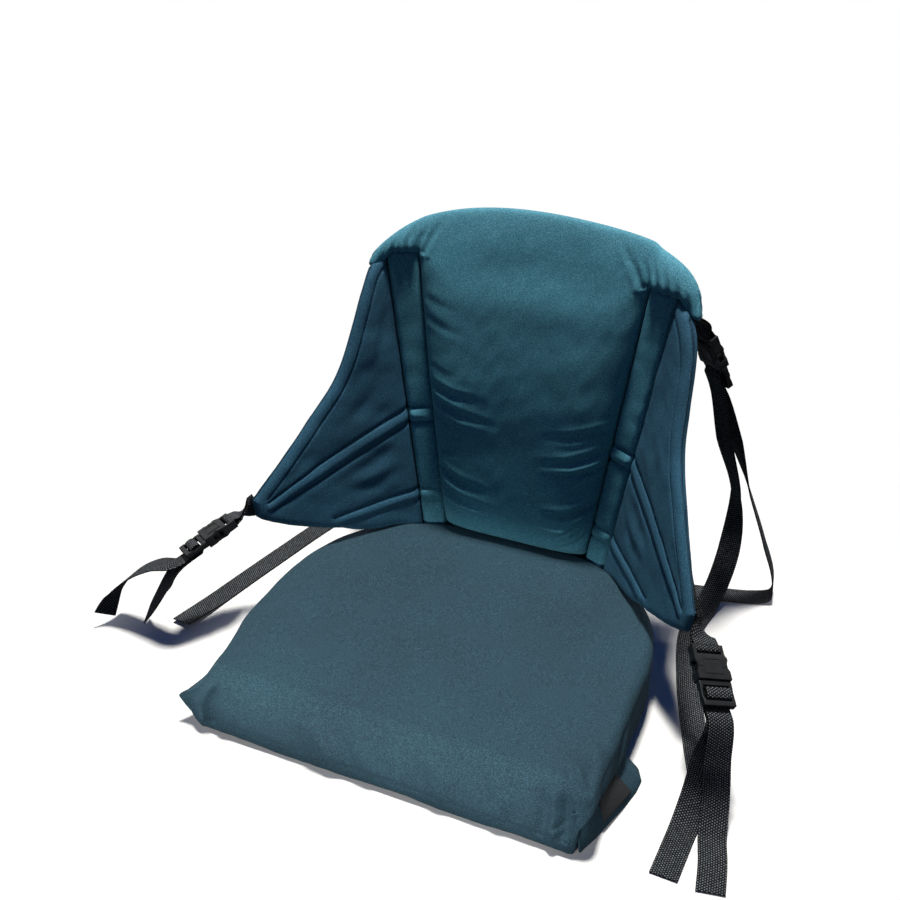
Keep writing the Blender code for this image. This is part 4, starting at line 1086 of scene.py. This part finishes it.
def splinePlaces(points, ways, step):
    # the same curve as the frame's straps: a smooth line through points, with a width direction carried along it
    points = [Vector(p) for p in points]
    ways = [Vector(w) for w in ways]
    samples, last = [], len(points) - 1
    for i in range(last):
        p0, p1 = points[max(i - 1, 0)], points[i]
        p2, p3 = points[i + 1], points[min(i + 2, last)]
        span = (p2 - p1).length
        before = (p1 - p0).length or span
        after = (p3 - p2).length or span
        start = ((p2 - p1) / span + (p1 - p0) / before) / 2 * span
        end = ((p2 - p1) / span + (p3 - p2) / after) / 2 * span
        pieces = max(1, math.ceil(span / step))
        for k in range(pieces):
            t = k / pieces
            t2, t3 = t * t, t * t * t
            place = (p1 * (2 * t3 - 3 * t2 + 1) + start * (t3 - 2 * t2 + t)
                     + p2 * (3 * t2 - 2 * t3) + end * (t3 - t2))
            samples.append((place, ways[i].lerp(ways[i + 1], t)))
    samples.append((points[-1], ways[-1]))
    squared = []
    for i, (place, side) in enumerate(samples):
        along = pathWay(samples, i)
        squared.append((place, (side - along * side.dot(along)).normalized()))
    return squared


def pathWay(samples, i):
    before, after = samples[max(i - 1, 0)][0], samples[min(i + 1, len(samples) - 1)][0]
    return (after - before).normalized()


def webbingPiece(name, samples, node):
    # flat webbing with rounded selvedges; no point of it goes under the ground
    half, thick, r = webbing["width"] / 2, webbing["thick"] / 2, 0.0005
    section = [(-half, 0), (-half + r * 0.4, thick * 0.75), (-half + r * 1.6, thick)]
    section += [(half * k / 3, thick) for k in (-2, -1, 0, 1, 2)]
    section += [(half - r * 1.6, thick), (half - r * 0.4, thick * 0.75), (half, 0)]
    section += [(a, -b) for a, b in reversed(section[1:-1])]
    points, uvs, faces = [], [], []
    run, count = 0.0, len(section)
    for i, (place, side) in enumerate(samples):
        along = pathWay(samples, i)
        up = side.cross(along)
        lowest = place.z - abs(side.z) * half - thick - 0.0003
        lift = Vector((0, 0, max(0.0, -lowest)))
        if i:
            run += (place - samples[i - 1][0]).length
        for a, b in section:
            points.append(place + side * a + up * b + lift)
            uvs.append((a + half, run))
    for i in range(len(samples) - 1):
        for k in range(count):
            j = (k + 1) % count
            faces.append([i * count + k, i * count + j, (i + 1) * count + j, (i + 1) * count + k])
    faces.append(list(range(count)))
    faces.append([(len(samples) - 1) * count + k for k in reversed(range(count))])
    piece = meshPiece(name, points, faces, uvs, webbingNylon)
    selectOnly(piece)
    bpy.ops.object.shade_smooth_by_angle(angle=math.radians(50))
    return finishPiece(piece, "webbing", node)


belts = {
    "upper_belt": (0.201, 0.132, 0.176), "lower_belt": (0.102, 0.108, 0.110),   # height, height at the tip, reach
    "ease": 0.002, "panelThick": 0.004, "gap": 0.0003, "step": 0.006,
}


def beltHalf(height, tipHeight, reach):
    depth = back["depth"] + belts["panelThick"] + 2 * belts["gap"] + webbing["thick"]
    edge = wings["thick"] + (wings["edgeThick"] - wings["thick"]) * (reach / 0.186) ** 2
    tipDepth = webbing["thick"] + 2 * belts["gap"] + edge
    mid = height + (tipHeight - height) * 0.45
    ease = belts["ease"]
    return [
        innerRear(np.array(height), depth),
        outerRear(np.array(height), depth + ease) - turned(back["stripTurn"]) * 2 * ease,
        outerRear(np.array(height), depth + ease) + turned(back["wingTurn"]) * 2 * ease,
        wingFront(np.array(reach * 0.45), np.array(mid)) + outward(back["wingTurn"]) * depth,
        wingFront(np.array(reach), np.array(tipHeight)) + outward(back["wingTurn"]) * tipDepth,
    ]


def buildBelts():
    for node in ("upper_belt", "lower_belt"):
        height, tipHeight, reach = belts[node]
        halfWeb = webbing["width"] / 2
        low = beltHalf(height - halfWeb, tipHeight - halfWeb, reach)
        high = beltHalf(height + halfWeb, tipHeight + halfWeb, reach)
        right = [(a + b) / 2 for a, b in zip(low, high)]
        ways = [(b - a) / np.linalg.norm(b - a) for a, b in zip(low, high)]
        points = [mirrorX(p, -1) for p in reversed(right)] + [right[0] * [0, 1, 1]] + right
        allWays = [mirrorX(w, -1) for w in reversed(ways)] + [ways[0] * [0, 1, 1]] + ways
        webbingPiece(node.replace("_b", "B"), splinePlaces(points, allWays, belts["step"]), node)


buildBelts()

buckle = {
    "width": 0.033, "length": 0.036, "thick": 0.011, "wall": 0.0018, "clear": 0.0006, "neckBar": 0.005,
    "neckSlot": 0.005, "neckSolid": 0.0045, "windowStart": 0.016, "windowLength": 0.012,
    "plugThick": 0.005, "plugBar": 0.005, "plugSlot": 0.005, "prongWidth": 0.005, "prongLength": 0.021,
    "guideWidth": 0.007, "gap": 0.0003,
}
plugStart = buckle["length"] - buckle["neckBar"] / 2 + buckle["gap"]


def bucklePlace(start, end, across):
    along = (Vector(end) - Vector(start)).normalized()
    side = Vector(across)
    side = (side - along * side.dot(along)).normalized()
    up = side.cross(along)
    place = Matrix((side, along, up)).transposed().to_4x4()
    place.translation = Vector(start)
    return place


def tabRoute():
    clear = buckle["neckBar"] / 2 + webbing["thick"] / 2 + 0.0006
    layer = webbing["thick"] / 2 + buckle["gap"]
    return (
        (-2.4 * clear, layer + 0.0006), (-clear, clear * 0.80), (0.0, clear),
        (clear * 0.85, clear * 0.85), (clear + 0.0004, 0.0), (clear * 0.85, -clear * 0.85),
        (0.0, -clear), (-clear, -clear * 0.80), (-2.4 * clear, -layer - 0.0006),
    )


def ladderRoute():
    bar, slot, thick = buckle["plugBar"], buckle["plugSlot"], webbing["thick"]
    first = plugStart + bar + slot / 2
    second = first + bar + slot
    end = plugStart + 3 * bar + 2 * slot
    over = buckle["plugThick"] / 2 + thick / 2 + 0.0012
    under = over + thick + 0.0007
    return (
        (end + 0.012, -under - 0.0010), (end - 0.001, -under), (second - 0.003, -under),
        (first + 0.0022, -under + 0.0002), (first, -over + 0.0002), (first - 0.0001, 0.0),
        (first + 0.0004, over * 0.8), (first + 0.0025, over), (second - 0.0025, over),
        (second - 0.0004, over * 0.8), (second, 0.0), (second + 0.0002, -over * 0.55),
        (second + 0.0018, -over * 0.96), (end - 0.001, -over), (end + 0.012, -over + 0.0010),
    )


def inPlace(place, route):
    return [place @ Vector((0.0, along, up)) for along, up in route]


sets = {
    "front": {"start": (0.2580, 0.0000, 0.1230), "end": (0.2886, -0.0535, 0.1010), "across": (-0.80, -0.45, 0.28)},
    "rear": {"start": (0.1780, 0.2125, 0.3270), "end": (0.1983, 0.2318, 0.2693), "across": (0.70, -0.60, 0.10)},
}
tabs = {"sewnIn": 0.004, "straight": 0.004, "neck": 0.005, "gap": 0.0010, "split": 0.0007, "step": 0.0015,
        "frontSlope": math.radians(20), "rearSlope": math.radians(45), "rearHeight": 0.348, "tipHeight": 0.132,
        "tipReach": 0.186}

# the loose strands: places with their width direction
strands = {
    ("front", 1): (
        [((0.2845, -0.0700, 0.0600), (0.90, 0.20, -0.20)), ((0.2820, -0.0810, 0.0230), (0.96, 0.12, -0.05)),
         ((0.2800, -0.1020, 0.0035), (0.99, 0.05, 0.00)), ((0.2790, -0.1290, 0.0012), (0.99, 0.05, 0.00)),
         ((0.2780, -0.1620, 0.0012), (0.97, -0.20, 0.00))],
        [((0.2950, -0.0730, 0.0620), (0.85, 0.40, -0.20)), ((0.3010, -0.0840, 0.0240), (0.92, 0.30, 0.00)),
         ((0.3060, -0.1050, 0.0045), (0.98, 0.10, 0.00)), ((0.3130, -0.1310, 0.0030), (0.99, 0.05, 0.00)),
         ((0.3190, -0.1620, 0.0012), (0.99, 0.05, 0.00))],
    ),
    ("front", -1): (
        [((-0.3050, -0.0600, 0.0700), (-0.75, 0.35, -0.45)), ((-0.3240, -0.0640, 0.0400), (-0.70, 0.45, -0.45)),
         ((-0.3420, -0.0630, 0.0150), (-0.65, 0.60, -0.45))],
        [((-0.3180, -0.0580, 0.0860), (-0.30, 0.95, -0.10)), ((-0.3520, -0.0590, 0.0640), (-0.05, 0.99, 0.00)),
         ((-0.3790, -0.0660, 0.0360), (0.10, 0.98, 0.00)), ((-0.3870, -0.0800, 0.0130), (0.45, 0.85, 0.00))],
    ),
    ("rear", 1): (
        [((0.2080, 0.2380, 0.2050), (0.80, -0.55, 0.10)), ((0.2270, 0.2470, 0.1400), (0.60, -0.80, 0.00)),
         ((0.2300, 0.2450, 0.0750), (0.95, -0.20, 0.00)), ((0.2250, 0.2360, 0.0280), (0.99, 0.10, 0.00)),
         ((0.2190, 0.2140, 0.0050), (0.99, 0.00, 0.00)), ((0.2140, 0.1710, 0.0016), (0.99, 0.05, 0.00)),
         ((0.2310, 0.0960, 0.0012), (0.97, 0.20, 0.00)), ((0.2640, 0.0010, 0.0012), (0.97, 0.22, 0.00)),
         ((0.2830, -0.0470, 0.0012), (0.95, 0.25, 0.00))],
        [((0.2170, 0.2440, 0.2080), (0.75, -0.62, 0.10)), ((0.2390, 0.2540, 0.1450), (0.30, -0.95, 0.00)),
         ((0.2630, 0.2660, 0.0780), (0.20, -0.97, 0.00)), ((0.2820, 0.2700, 0.0200), (0.15, -0.98, 0.00)),
         ((0.2810, 0.2670, 0.0060), (0.15, -0.98, 0.00)), ((0.2600, 0.2590, 0.0012), (0.25, -0.97, 0.00)),
         ((0.1800, 0.2400, 0.0012), (0.25, -0.97, 0.00))],
    ),
    ("rear", -1): (
        [((-0.2120, 0.2400, 0.2050), (-0.80, -0.55, 0.10)), ((-0.2340, 0.2480, 0.1350), (-0.80, -0.50, 0.00)),
         ((-0.2480, 0.2450, 0.0600), (-0.95, -0.20, 0.00)), ((-0.2580, 0.2250, 0.0120), (-0.99, 0.00, 0.00)),
         ((-0.2680, 0.1900, 0.0014), (-0.99, 0.05, 0.00)), ((-0.2840, 0.1050, 0.0012), (-0.99, 0.08, 0.00)),
         ((-0.3000, 0.0100, 0.0012), (-0.98, 0.15, 0.00)), ((-0.3080, -0.0500, 0.0060), (-0.97, 0.20, -0.10))],
        [((-0.2180, 0.2520, 0.2080), (-0.75, -0.62, 0.10)), ((-0.2220, 0.2740, 0.1400), (-0.90, -0.40, 0.00)),
         ((-0.2160, 0.2840, 0.0650), (-0.90, -0.40, 0.00)), ((-0.2060, 0.2800, 0.0120), (-0.15, -0.98, 0.00)),
         ((-0.1780, 0.2780, 0.0012), (-0.05, -0.99, 0.00)), ((-0.1200, 0.2700, 0.0012), (0.05, -0.99, 0.00))],
    ),
}


def sameHand(way, widthWay):
    way = Vector(way)
    return way if way.dot(widthWay) >= 0 else -way


def tabRoot(where, side):
    up = np.array([0.0, back["lean"], 1.0])
    up /= np.linalg.norm(up)
    stackDepth = tabs["gap"] + webbing["thick"] + tabs["split"]
    if where == "front":
        flat, slope = turned(back["wingTurn"]), tabs["frontSlope"]
        point = wingFront(np.array(tabs["tipReach"]), np.array(tabs["tipHeight"]))
        point = point + outward(back["wingTurn"]) * (wings["edgeThick"] + stackDepth)
    else:
        flat, slope = turned(back["stripTurn"]), tabs["rearSlope"]
        point = outerSeam(np.array(tabs["rearHeight"]))
        point = point + outward(back["stripTurn"]) * (back["depth"] + 0.0003 + 0.004 + stackDepth)
    ahead = flat * math.cos(slope) - up * math.sin(slope)
    way = flat * math.sin(slope) + up * math.cos(slope)
    return [Vector(mirrorX(v, side)) for v in (point, ahead, way)]


def tabSamples(place, widthWay, root):
    point, ahead, way = root
    way = sameHand(way, widthWay)
    route = tabRoute()
    loopStart = route[0][0]
    neck = inPlace(place, ((loopStart - tabs["neck"], 0.0), (loopStart - tabs["neck"] / 4, 0.0)))
    middle = [point - ahead * tabs["sewnIn"], point + ahead * tabs["straight"], *neck]
    turning = [way, way.lerp(widthWay, 0.2), way.lerp(widthWay, 0.8), widthWay]
    core = splinePlaces(middle, turning, tabs["step"])
    layers = ([], [])
    for i, (spot, side) in enumerate(core):
        square = side.cross(pathWay(core, i)).normalized() * (webbing["thick"] / 2 + tabs["split"])
        layers[0].append((spot + square, side))
        layers[1].append((spot - square, side))
    loop = inPlace(place, route)
    loopSamples = splinePlaces(loop, [widthWay] * len(loop), tabs["step"])
    return layers[0] + loopSamples + list(reversed(layers[1]))


def buildStrapSets():
    places = {}
    for where, values in sets.items():
        for side, name in ((-1, "Left"), (1, "Right")):
            low = name.lower()
            start, end = (mirrorX(np.array(values[k]), side) for k in ("start", "end"))
            across = values["across"]
            across = (across[0], across[1] * side, across[2] * side)
            place = bucklePlace(start, end, across)
            places[(where, low)] = place
            widthWay = place.to_3x3() @ Vector((1.0, 0.0, 0.0))
            webbingPiece(f"{where}Tab{name}", tabSamples(place, widthWay, tabRoot(where, side)), f"{where}_tab_{low}")
            first, second = strands[(where, side)]
            route = ladderRoute()
            points = [Vector(p) for p, _ in reversed(first)] + inPlace(place, route) + [Vector(p) for p, _ in second]
            ways = [sameHand(w, widthWay) for _, w in reversed(first)] + [widthWay] * len(route)
            ways += [sameHand(w, widthWay) for _, w in second]
            webbingPiece(f"{where}Strap{name}", splinePlaces(points, ways, webbing["step"]), f"{where}_strap_{low}")
    return places


bucklePlaces = buildStrapSets()
print("webbing")


# ---------- side-release buckles: socket and plug modelled once, then copied to their places

moulding = {
    "half": 0.0165, "slotHalf": 0.0133, "socketEnd": 0.0335, "socketThick": 0.0110, "plugEnd": 0.0588,
    "waist": 0.90, "neck": 0.94, "panelRise": 0.0005, "panelSink": 0.0004, "ribRise": 0.00045,
    "mouthWall": 0.0017, "mouthDeep": 0.0185, "windowDeep": 0.0045, "bevel": 0.0006,
    # prong: reach back from the plug, shift outwards, growth across, growth in thickness
    "prong": [(0.0040, -0.0016, 0.80, 1.0), (0.0045, 0.0004, 1.25, 1.15), (0.0035, 0.0016, 1.30, 1.12),
              (0.0035, 0.0006, 1.0, 1.0), (0.0040, -0.0022, 0.55, 0.75)],
    "guide": [(0.0080, 0.80), (0.0070, 0.70)],
}


def editBox(name, size, at):
    bpy.ops.object.select_all(action="DESELECT")
    bpy.ops.mesh.primitive_cube_add(size=1, location=at)
    piece = bpy.context.active_object
    piece.name = name
    piece.scale = size
    bpy.ops.object.transform_apply(location=True, rotation=True, scale=True)
    bpy.ops.object.mode_set(mode="EDIT")
    bpy.ops.mesh.select_mode(type="FACE")
    return piece


def cutAt(axis, values):
    normal = [1.0 if axis == k else 0.0 for k in range(3)]
    for value in values:
        bpy.ops.mesh.select_all(action="SELECT")
        bpy.ops.mesh.bisect(plane_co=[value * n for n in normal], plane_no=normal)


def pick(test):
    # selects the faces whose middle and normal pass the test
    bpy.ops.mesh.select_mode(type="FACE")
    bpy.ops.mesh.select_all(action="DESELECT")
    mesh = bpy.context.edit_object.data
    shape = bmesh.from_edit_mesh(mesh)
    for face in shape.faces:
        face.select_set(bool(test(face.calc_center_median(), face.normal)))
    bmesh.update_edit_mesh(mesh)


def pickCorners(test):
    bpy.ops.mesh.select_mode(type="VERT")
    bpy.ops.mesh.select_all(action="DESELECT")
    mesh = bpy.context.edit_object.data
    shape = bmesh.from_edit_mesh(mesh)
    for corner in shape.verts:
        corner.select_set(bool(test(corner.co)))
    bmesh.update_edit_mesh(mesh)


def pushOut(way):
    bpy.ops.mesh.extrude_region_move(TRANSFORM_OT_translate={"value": way})


def cutSlot(low, high, half):
    # an opening right through, from top to underside
    pick(lambda c, n: abs(n.z) > 0.9 and low < c.y < high and abs(c.x) < half)
    bpy.ops.mesh.delete(type="FACE")
    bpy.ops.mesh.select_mode(type="EDGE")
    bpy.ops.mesh.select_all(action="DESELECT")
    bpy.ops.mesh.select_non_manifold()
    bpy.ops.mesh.bridge_edge_loops()
    bpy.ops.mesh.select_mode(type="FACE")


def finishMoulding(piece, width):
    bpy.ops.object.mode_set(mode="OBJECT")
    faceOutwards(piece.data)
    soften = piece.modifiers.new("soften", "BEVEL")
    soften.width, soften.segments, soften.limit_method, soften.angle_limit = width, 3, "ANGLE", math.radians(32)
    soften.use_clamp_overlap = True
    applyAll(piece)
    bpy.ops.object.shade_smooth_by_angle(angle=math.radians(40))
    piece.data.materials.clear()
    piece.data.materials.append(bucklePlastic)
    return piece


def modelSocket():
    half, end, thick = moulding["half"], moulding["socketEnd"], moulding["socketThick"]
    start = -buckle["neckBar"] / 2
    piece = editBox("socketModel", (2 * half, end - start, thick), (0, (end + start) / 2, 0))
    cutAt(0, (-moulding["slotHalf"], -0.0095, 0.0095, moulding["slotHalf"]))
    cutAt(1, (0.0025, 0.0075, 0.0120, 0.0138, 0.0178, 0.0218, 0.0255, 0.0290))
    cutAt(2, (-0.0032, 0.0032))
    cutSlot(0.0025, 0.0075, moulding["slotHalf"])
    pickCorners(lambda c: c.y < 0.0078)
    bpy.ops.transform.resize(value=(moulding["neck"], 1, 0.80), center_override=(0, 0, 0))
    pickCorners(lambda c: 0.0175 < c.y < 0.0222 and abs(c.x) > 0.0140)
    bpy.ops.transform.resize(value=(moulding["waist"], 1, 1), center_override=(0, 0, 0))
    for side in (-1, 1):
        pick(lambda c, n: n.x * side > 0.7 and 0.0138 < c.y < 0.0255 and abs(c.z) < 0.0032)
        bpy.ops.mesh.inset(thickness=0.0004)
        pushOut((-side * moulding["windowDeep"], 0, 0))
    pick(lambda c, n: n.y > 0.9 and c.y > end - 0.001)
    bpy.ops.mesh.inset(thickness=moulding["mouthWall"], use_even_offset=True)
    pushOut((0, -moulding["mouthDeep"] * 0.3, 0))
    for side in (-1, 1):
        pick(lambda c, n: n.z * side > 0.9 and abs(c.x) < 0.0095 and 0.0120 < c.y < 0.0290)
        bpy.ops.mesh.inset(thickness=0.0007)
        pushOut((0, 0, side * moulding["panelRise"]))
        bpy.ops.mesh.inset(thickness=0.0012)
        pushOut((0, 0, -side * moulding["panelSink"]))
        for low, high in ((0.0178, 0.0218),):
            pick(lambda c, n: n.z * side > 0.9 and abs(c.x) > 0.0100 and low < c.y < high)
            bpy.ops.mesh.inset(thickness=0.0006, use_individual=True)
            pushOut((0, 0, side * moulding["ribRise"]))
    return finishMoulding(piece, moulding["bevel"])


def modelPlug():
    half, end, thick = moulding["half"] - 0.0003, moulding["plugEnd"], buckle["plugThick"]
    bar, slot = buckle["plugBar"], buckle["plugSlot"]
    piece = editBox("plugModel", (2 * half, end - plugStart, thick), (0, (end + plugStart) / 2, 0))
    stops = [plugStart + bar, plugStart + bar + slot, plugStart + 2 * bar + slot, plugStart + 2 * bar + 2 * slot]
    cutAt(0, (-moulding["slotHalf"], -0.0098, -0.0034, 0.0034, 0.0098, moulding["slotHalf"]))
    cutAt(1, stops)
    cutSlot(stops[0], stops[1], moulding["slotHalf"])
    cutSlot(stops[2], stops[3], moulding["slotHalf"])
    # the outer bar is thicker and rounded, the middle bar thinner, so that it grips the webbing
    pickCorners(lambda c: c.y > stops[3] - 0.0002)
    bpy.ops.transform.resize(value=(0.97, 1, 1.30), center_override=(0, 0, 0))
    pickCorners(lambda c: stops[1] - 0.0002 < c.y < stops[2] + 0.0002 and abs(c.x) < moulding["slotHalf"] + 0.0002)
    bpy.ops.transform.resize(value=(1, 1, 0.76), center_override=(0, 0, 0))
    pickCorners(lambda c: c.y < stops[0] + 0.0002)
    bpy.ops.transform.resize(value=(1, 1, 1.25), center_override=(0, 0, 0))
    for side in (-1, 1):
        middle = 0.01155 * side
        pick(lambda c, n: n.y < -0.9 and c.y < plugStart + 0.0005 and 0.0098 < c.x * side < moulding["slotHalf"])
        y = plugStart
        for reach, shift, grow, thicker in moulding["prong"]:
            pushOut((shift * side, -reach, 0))
            y, middle = y - reach, middle + shift * side
            bpy.ops.transform.resize(value=(grow, 1, thicker), center_override=(middle, y, 0))
    pick(lambda c, n: n.y < -0.9 and c.y < plugStart + 0.0005 and abs(c.x) < 0.0034)
    y = plugStart
    for reach, grow in moulding["guide"]:
        pushOut((0, -reach, 0))
        y -= reach
        bpy.ops.transform.resize(value=(grow, 1, 0.85), center_override=(0, y, 0))
    return finishMoulding(piece, moulding["bevel"] * 0.9)


def buildBuckles():
    models = {"socket": modelSocket(), "plug": modelPlug()}
    for (where, low), place in bucklePlaces.items():
        for part, model in models.items():
            mesh = model.data.copy()
            mesh.transform(place)
            piece = bpy.data.objects.new(f"{where}{part.capitalize()}{low.capitalize()}", mesh)
            bpy.context.scene.collection.objects.link(piece)
            finishPiece(piece, "buckle_plastic", f"{where}_{part}_{low}")
    for model in models.values():
        bpy.data.objects.remove(model)


buildBuckles()
print("buckles")


# ---------- floor, light and camera

studio = {
    "floor": "#fffcf4", "bounce": "#4a4f55", "keyPower": 63, "keySize": 0.26, "keyAt": (-0.03, 0.32, 2.28),
    "fillPower": 0.185, "fillSize": 0.46, "fillHigh": 0.04, "fillAt": (-0.05, -0.52, 0.120), "fillSpread": 24,
    "world": 0.08, "sky": "#4a86ff",
    "fadeFrom": 0.30, "fadeTo": 0.72,
}


def buildStudio():
    bpy.ops.object.select_all(action="DESELECT")
    bpy.ops.mesh.primitive_plane_add(size=24, location=(0, 0, -0.0004))
    floor = bpy.context.active_object
    floor.name = "studioFloor"
    bpy.ops.object.transform_apply(location=True, rotation=True, scale=True)
    material, tree, shader = newMaterial("paintedFloorWhite")   # matt studio paint, white to the eye away from the object
    path = addNode(tree, "ShaderNodeLightPath")
    paint = addNode(tree, "ShaderNodeMix", {0: path.outputs["Is Camera Ray"]}, data_type="RGBA")
    paint.inputs["A"].default_value = toLinear(studio["bounce"])
    paint.inputs["B"].default_value = toLinear(studio["floor"])
    tree.links.new(paint.outputs["Result"], shader.inputs["Base Color"])
    shader.inputs["Roughness"].default_value = 0.9
    shader.inputs["Specular IOR Level"].default_value = 0.1
    place = addNode(tree, "ShaderNodeTexCoord")
    radius = addNode(tree, "ShaderNodeVectorMath", {0: place.outputs["Object"]}, operation="LENGTH")
    far = addNode(tree, "ShaderNodeMapRange", {0: radius.outputs["Value"], 1: studio["fadeFrom"], 2: studio["fadeTo"]},
                  interpolation_type="SMOOTHSTEP")
    seen = addNode(tree, "ShaderNodeMath", {0: far.outputs[0], 1: path.outputs["Is Camera Ray"]}, operation="MULTIPLY")
    glow = addNode(tree, "ShaderNodeEmission", {"Color": (1, 1, 1, 1), "Strength": 1.0})
    blend = addNode(tree, "ShaderNodeMixShader", {0: seen.outputs[0], 1: shader.outputs[0], 2: glow.outputs[0]})
    tree.links.new(blend.outputs[0], tree.nodes["Material Output"].inputs["Surface"])
    floor.data.materials.append(material)

    world = bpy.data.worlds.new("studio")
    bpy.context.scene.world = world
    world.use_nodes = True
    tree = world.node_tree
    background = tree.nodes["Background"]
    path = addNode(tree, "ShaderNodeLightPath")
    direct = addNode(tree, "ShaderNodeMath", {0: path.outputs["Is Camera Ray"], 1: path.outputs["Is Glossy Ray"]},
                     operation="MAXIMUM")
    either = addNode(tree, "ShaderNodeMath", {0: direct.outputs[0], 1: path.outputs["Is Transmission Ray"]},
                     operation="MAXIMUM")
    strength = addNode(tree, "ShaderNodeMapRange", {0: either.outputs[0], 3: studio["world"], 4: 1.0})
    tree.links.new(strength.outputs[0], background.inputs["Strength"])
    tint = addNode(tree, "ShaderNodeMix", {0: either.outputs[0]}, data_type="RGBA")
    tint.inputs["A"].default_value = toLinear(studio["sky"])
    tint.inputs["B"].default_value = (1, 1, 1, 1)
    tree.links.new(tint.outputs["Result"], background.inputs["Color"])

    for name, power, size, at in (("keyLight", studio["keyPower"], studio["keySize"], studio["keyAt"]),
                                  ("fillLight", studio["fillPower"], studio["fillSize"], studio["fillAt"])):
        light = bpy.data.lights.new(name, "AREA")
        light.energy, light.size = power, size
        if name == "fillLight":
            light.shape, light.size_y = "RECTANGLE", studio["fillHigh"]
            light.spread = math.radians(studio["fillSpread"])
        lamp = bpy.data.objects.new(name, light)
        lamp.location = at
        aim = Vector((0, 0, 0.15) if name == "keyLight" else (-0.02, -0.170, 0.046)) - Vector(at)
        lamp.visible_camera = False
        lamp.rotation_euler = aim.to_track_quat("-Z", "Y").to_euler()
        bpy.context.scene.collection.objects.link(lamp)


view = {"azimuth": 23.2, "elevation": 36.0, "roll": 0.5, "target": (0.051, 0.002, 0.150), "distance": 0.989,
        "focalPixels": 1034, "centre": (497, 569), "size": 900}


def buildCamera():
    azimuth, elevation, roll = (math.radians(view[k]) for k in ("azimuth", "elevation", "roll"))
    outwards = Vector((math.sin(azimuth) * math.cos(elevation), -math.cos(azimuth) * math.cos(elevation),
                       math.sin(elevation)))
    right = Vector((math.cos(azimuth), math.sin(azimuth), 0))
    up = outwards.cross(right)
    turnedRight = right * math.cos(roll) + up * math.sin(roll)
    turnedUp = up * math.cos(roll) - right * math.sin(roll)
    data = bpy.data.cameras.new("camera")
    camera = bpy.data.objects.new("camera", data)
    bpy.context.scene.collection.objects.link(camera)
    place = Matrix((turnedRight, turnedUp, outwards)).transposed().to_4x4()
    place.translation = Vector(view["target"]) + outwards * view["distance"]
    camera.matrix_world = place
    data.sensor_width = 36
    data.lens = 36 * view["focalPixels"] / view["size"]
    half = view["size"] / 2
    data.shift_x = (half - view["centre"][0]) / view["size"]
    data.shift_y = (view["centre"][1] - half) / view["size"]
    data.dof.use_dof = False
    bpy.context.scene.camera = camera


buildStudio()
buildCamera()
bpy.context.scene.view_settings.view_transform = "Standard"
print("studio ready")
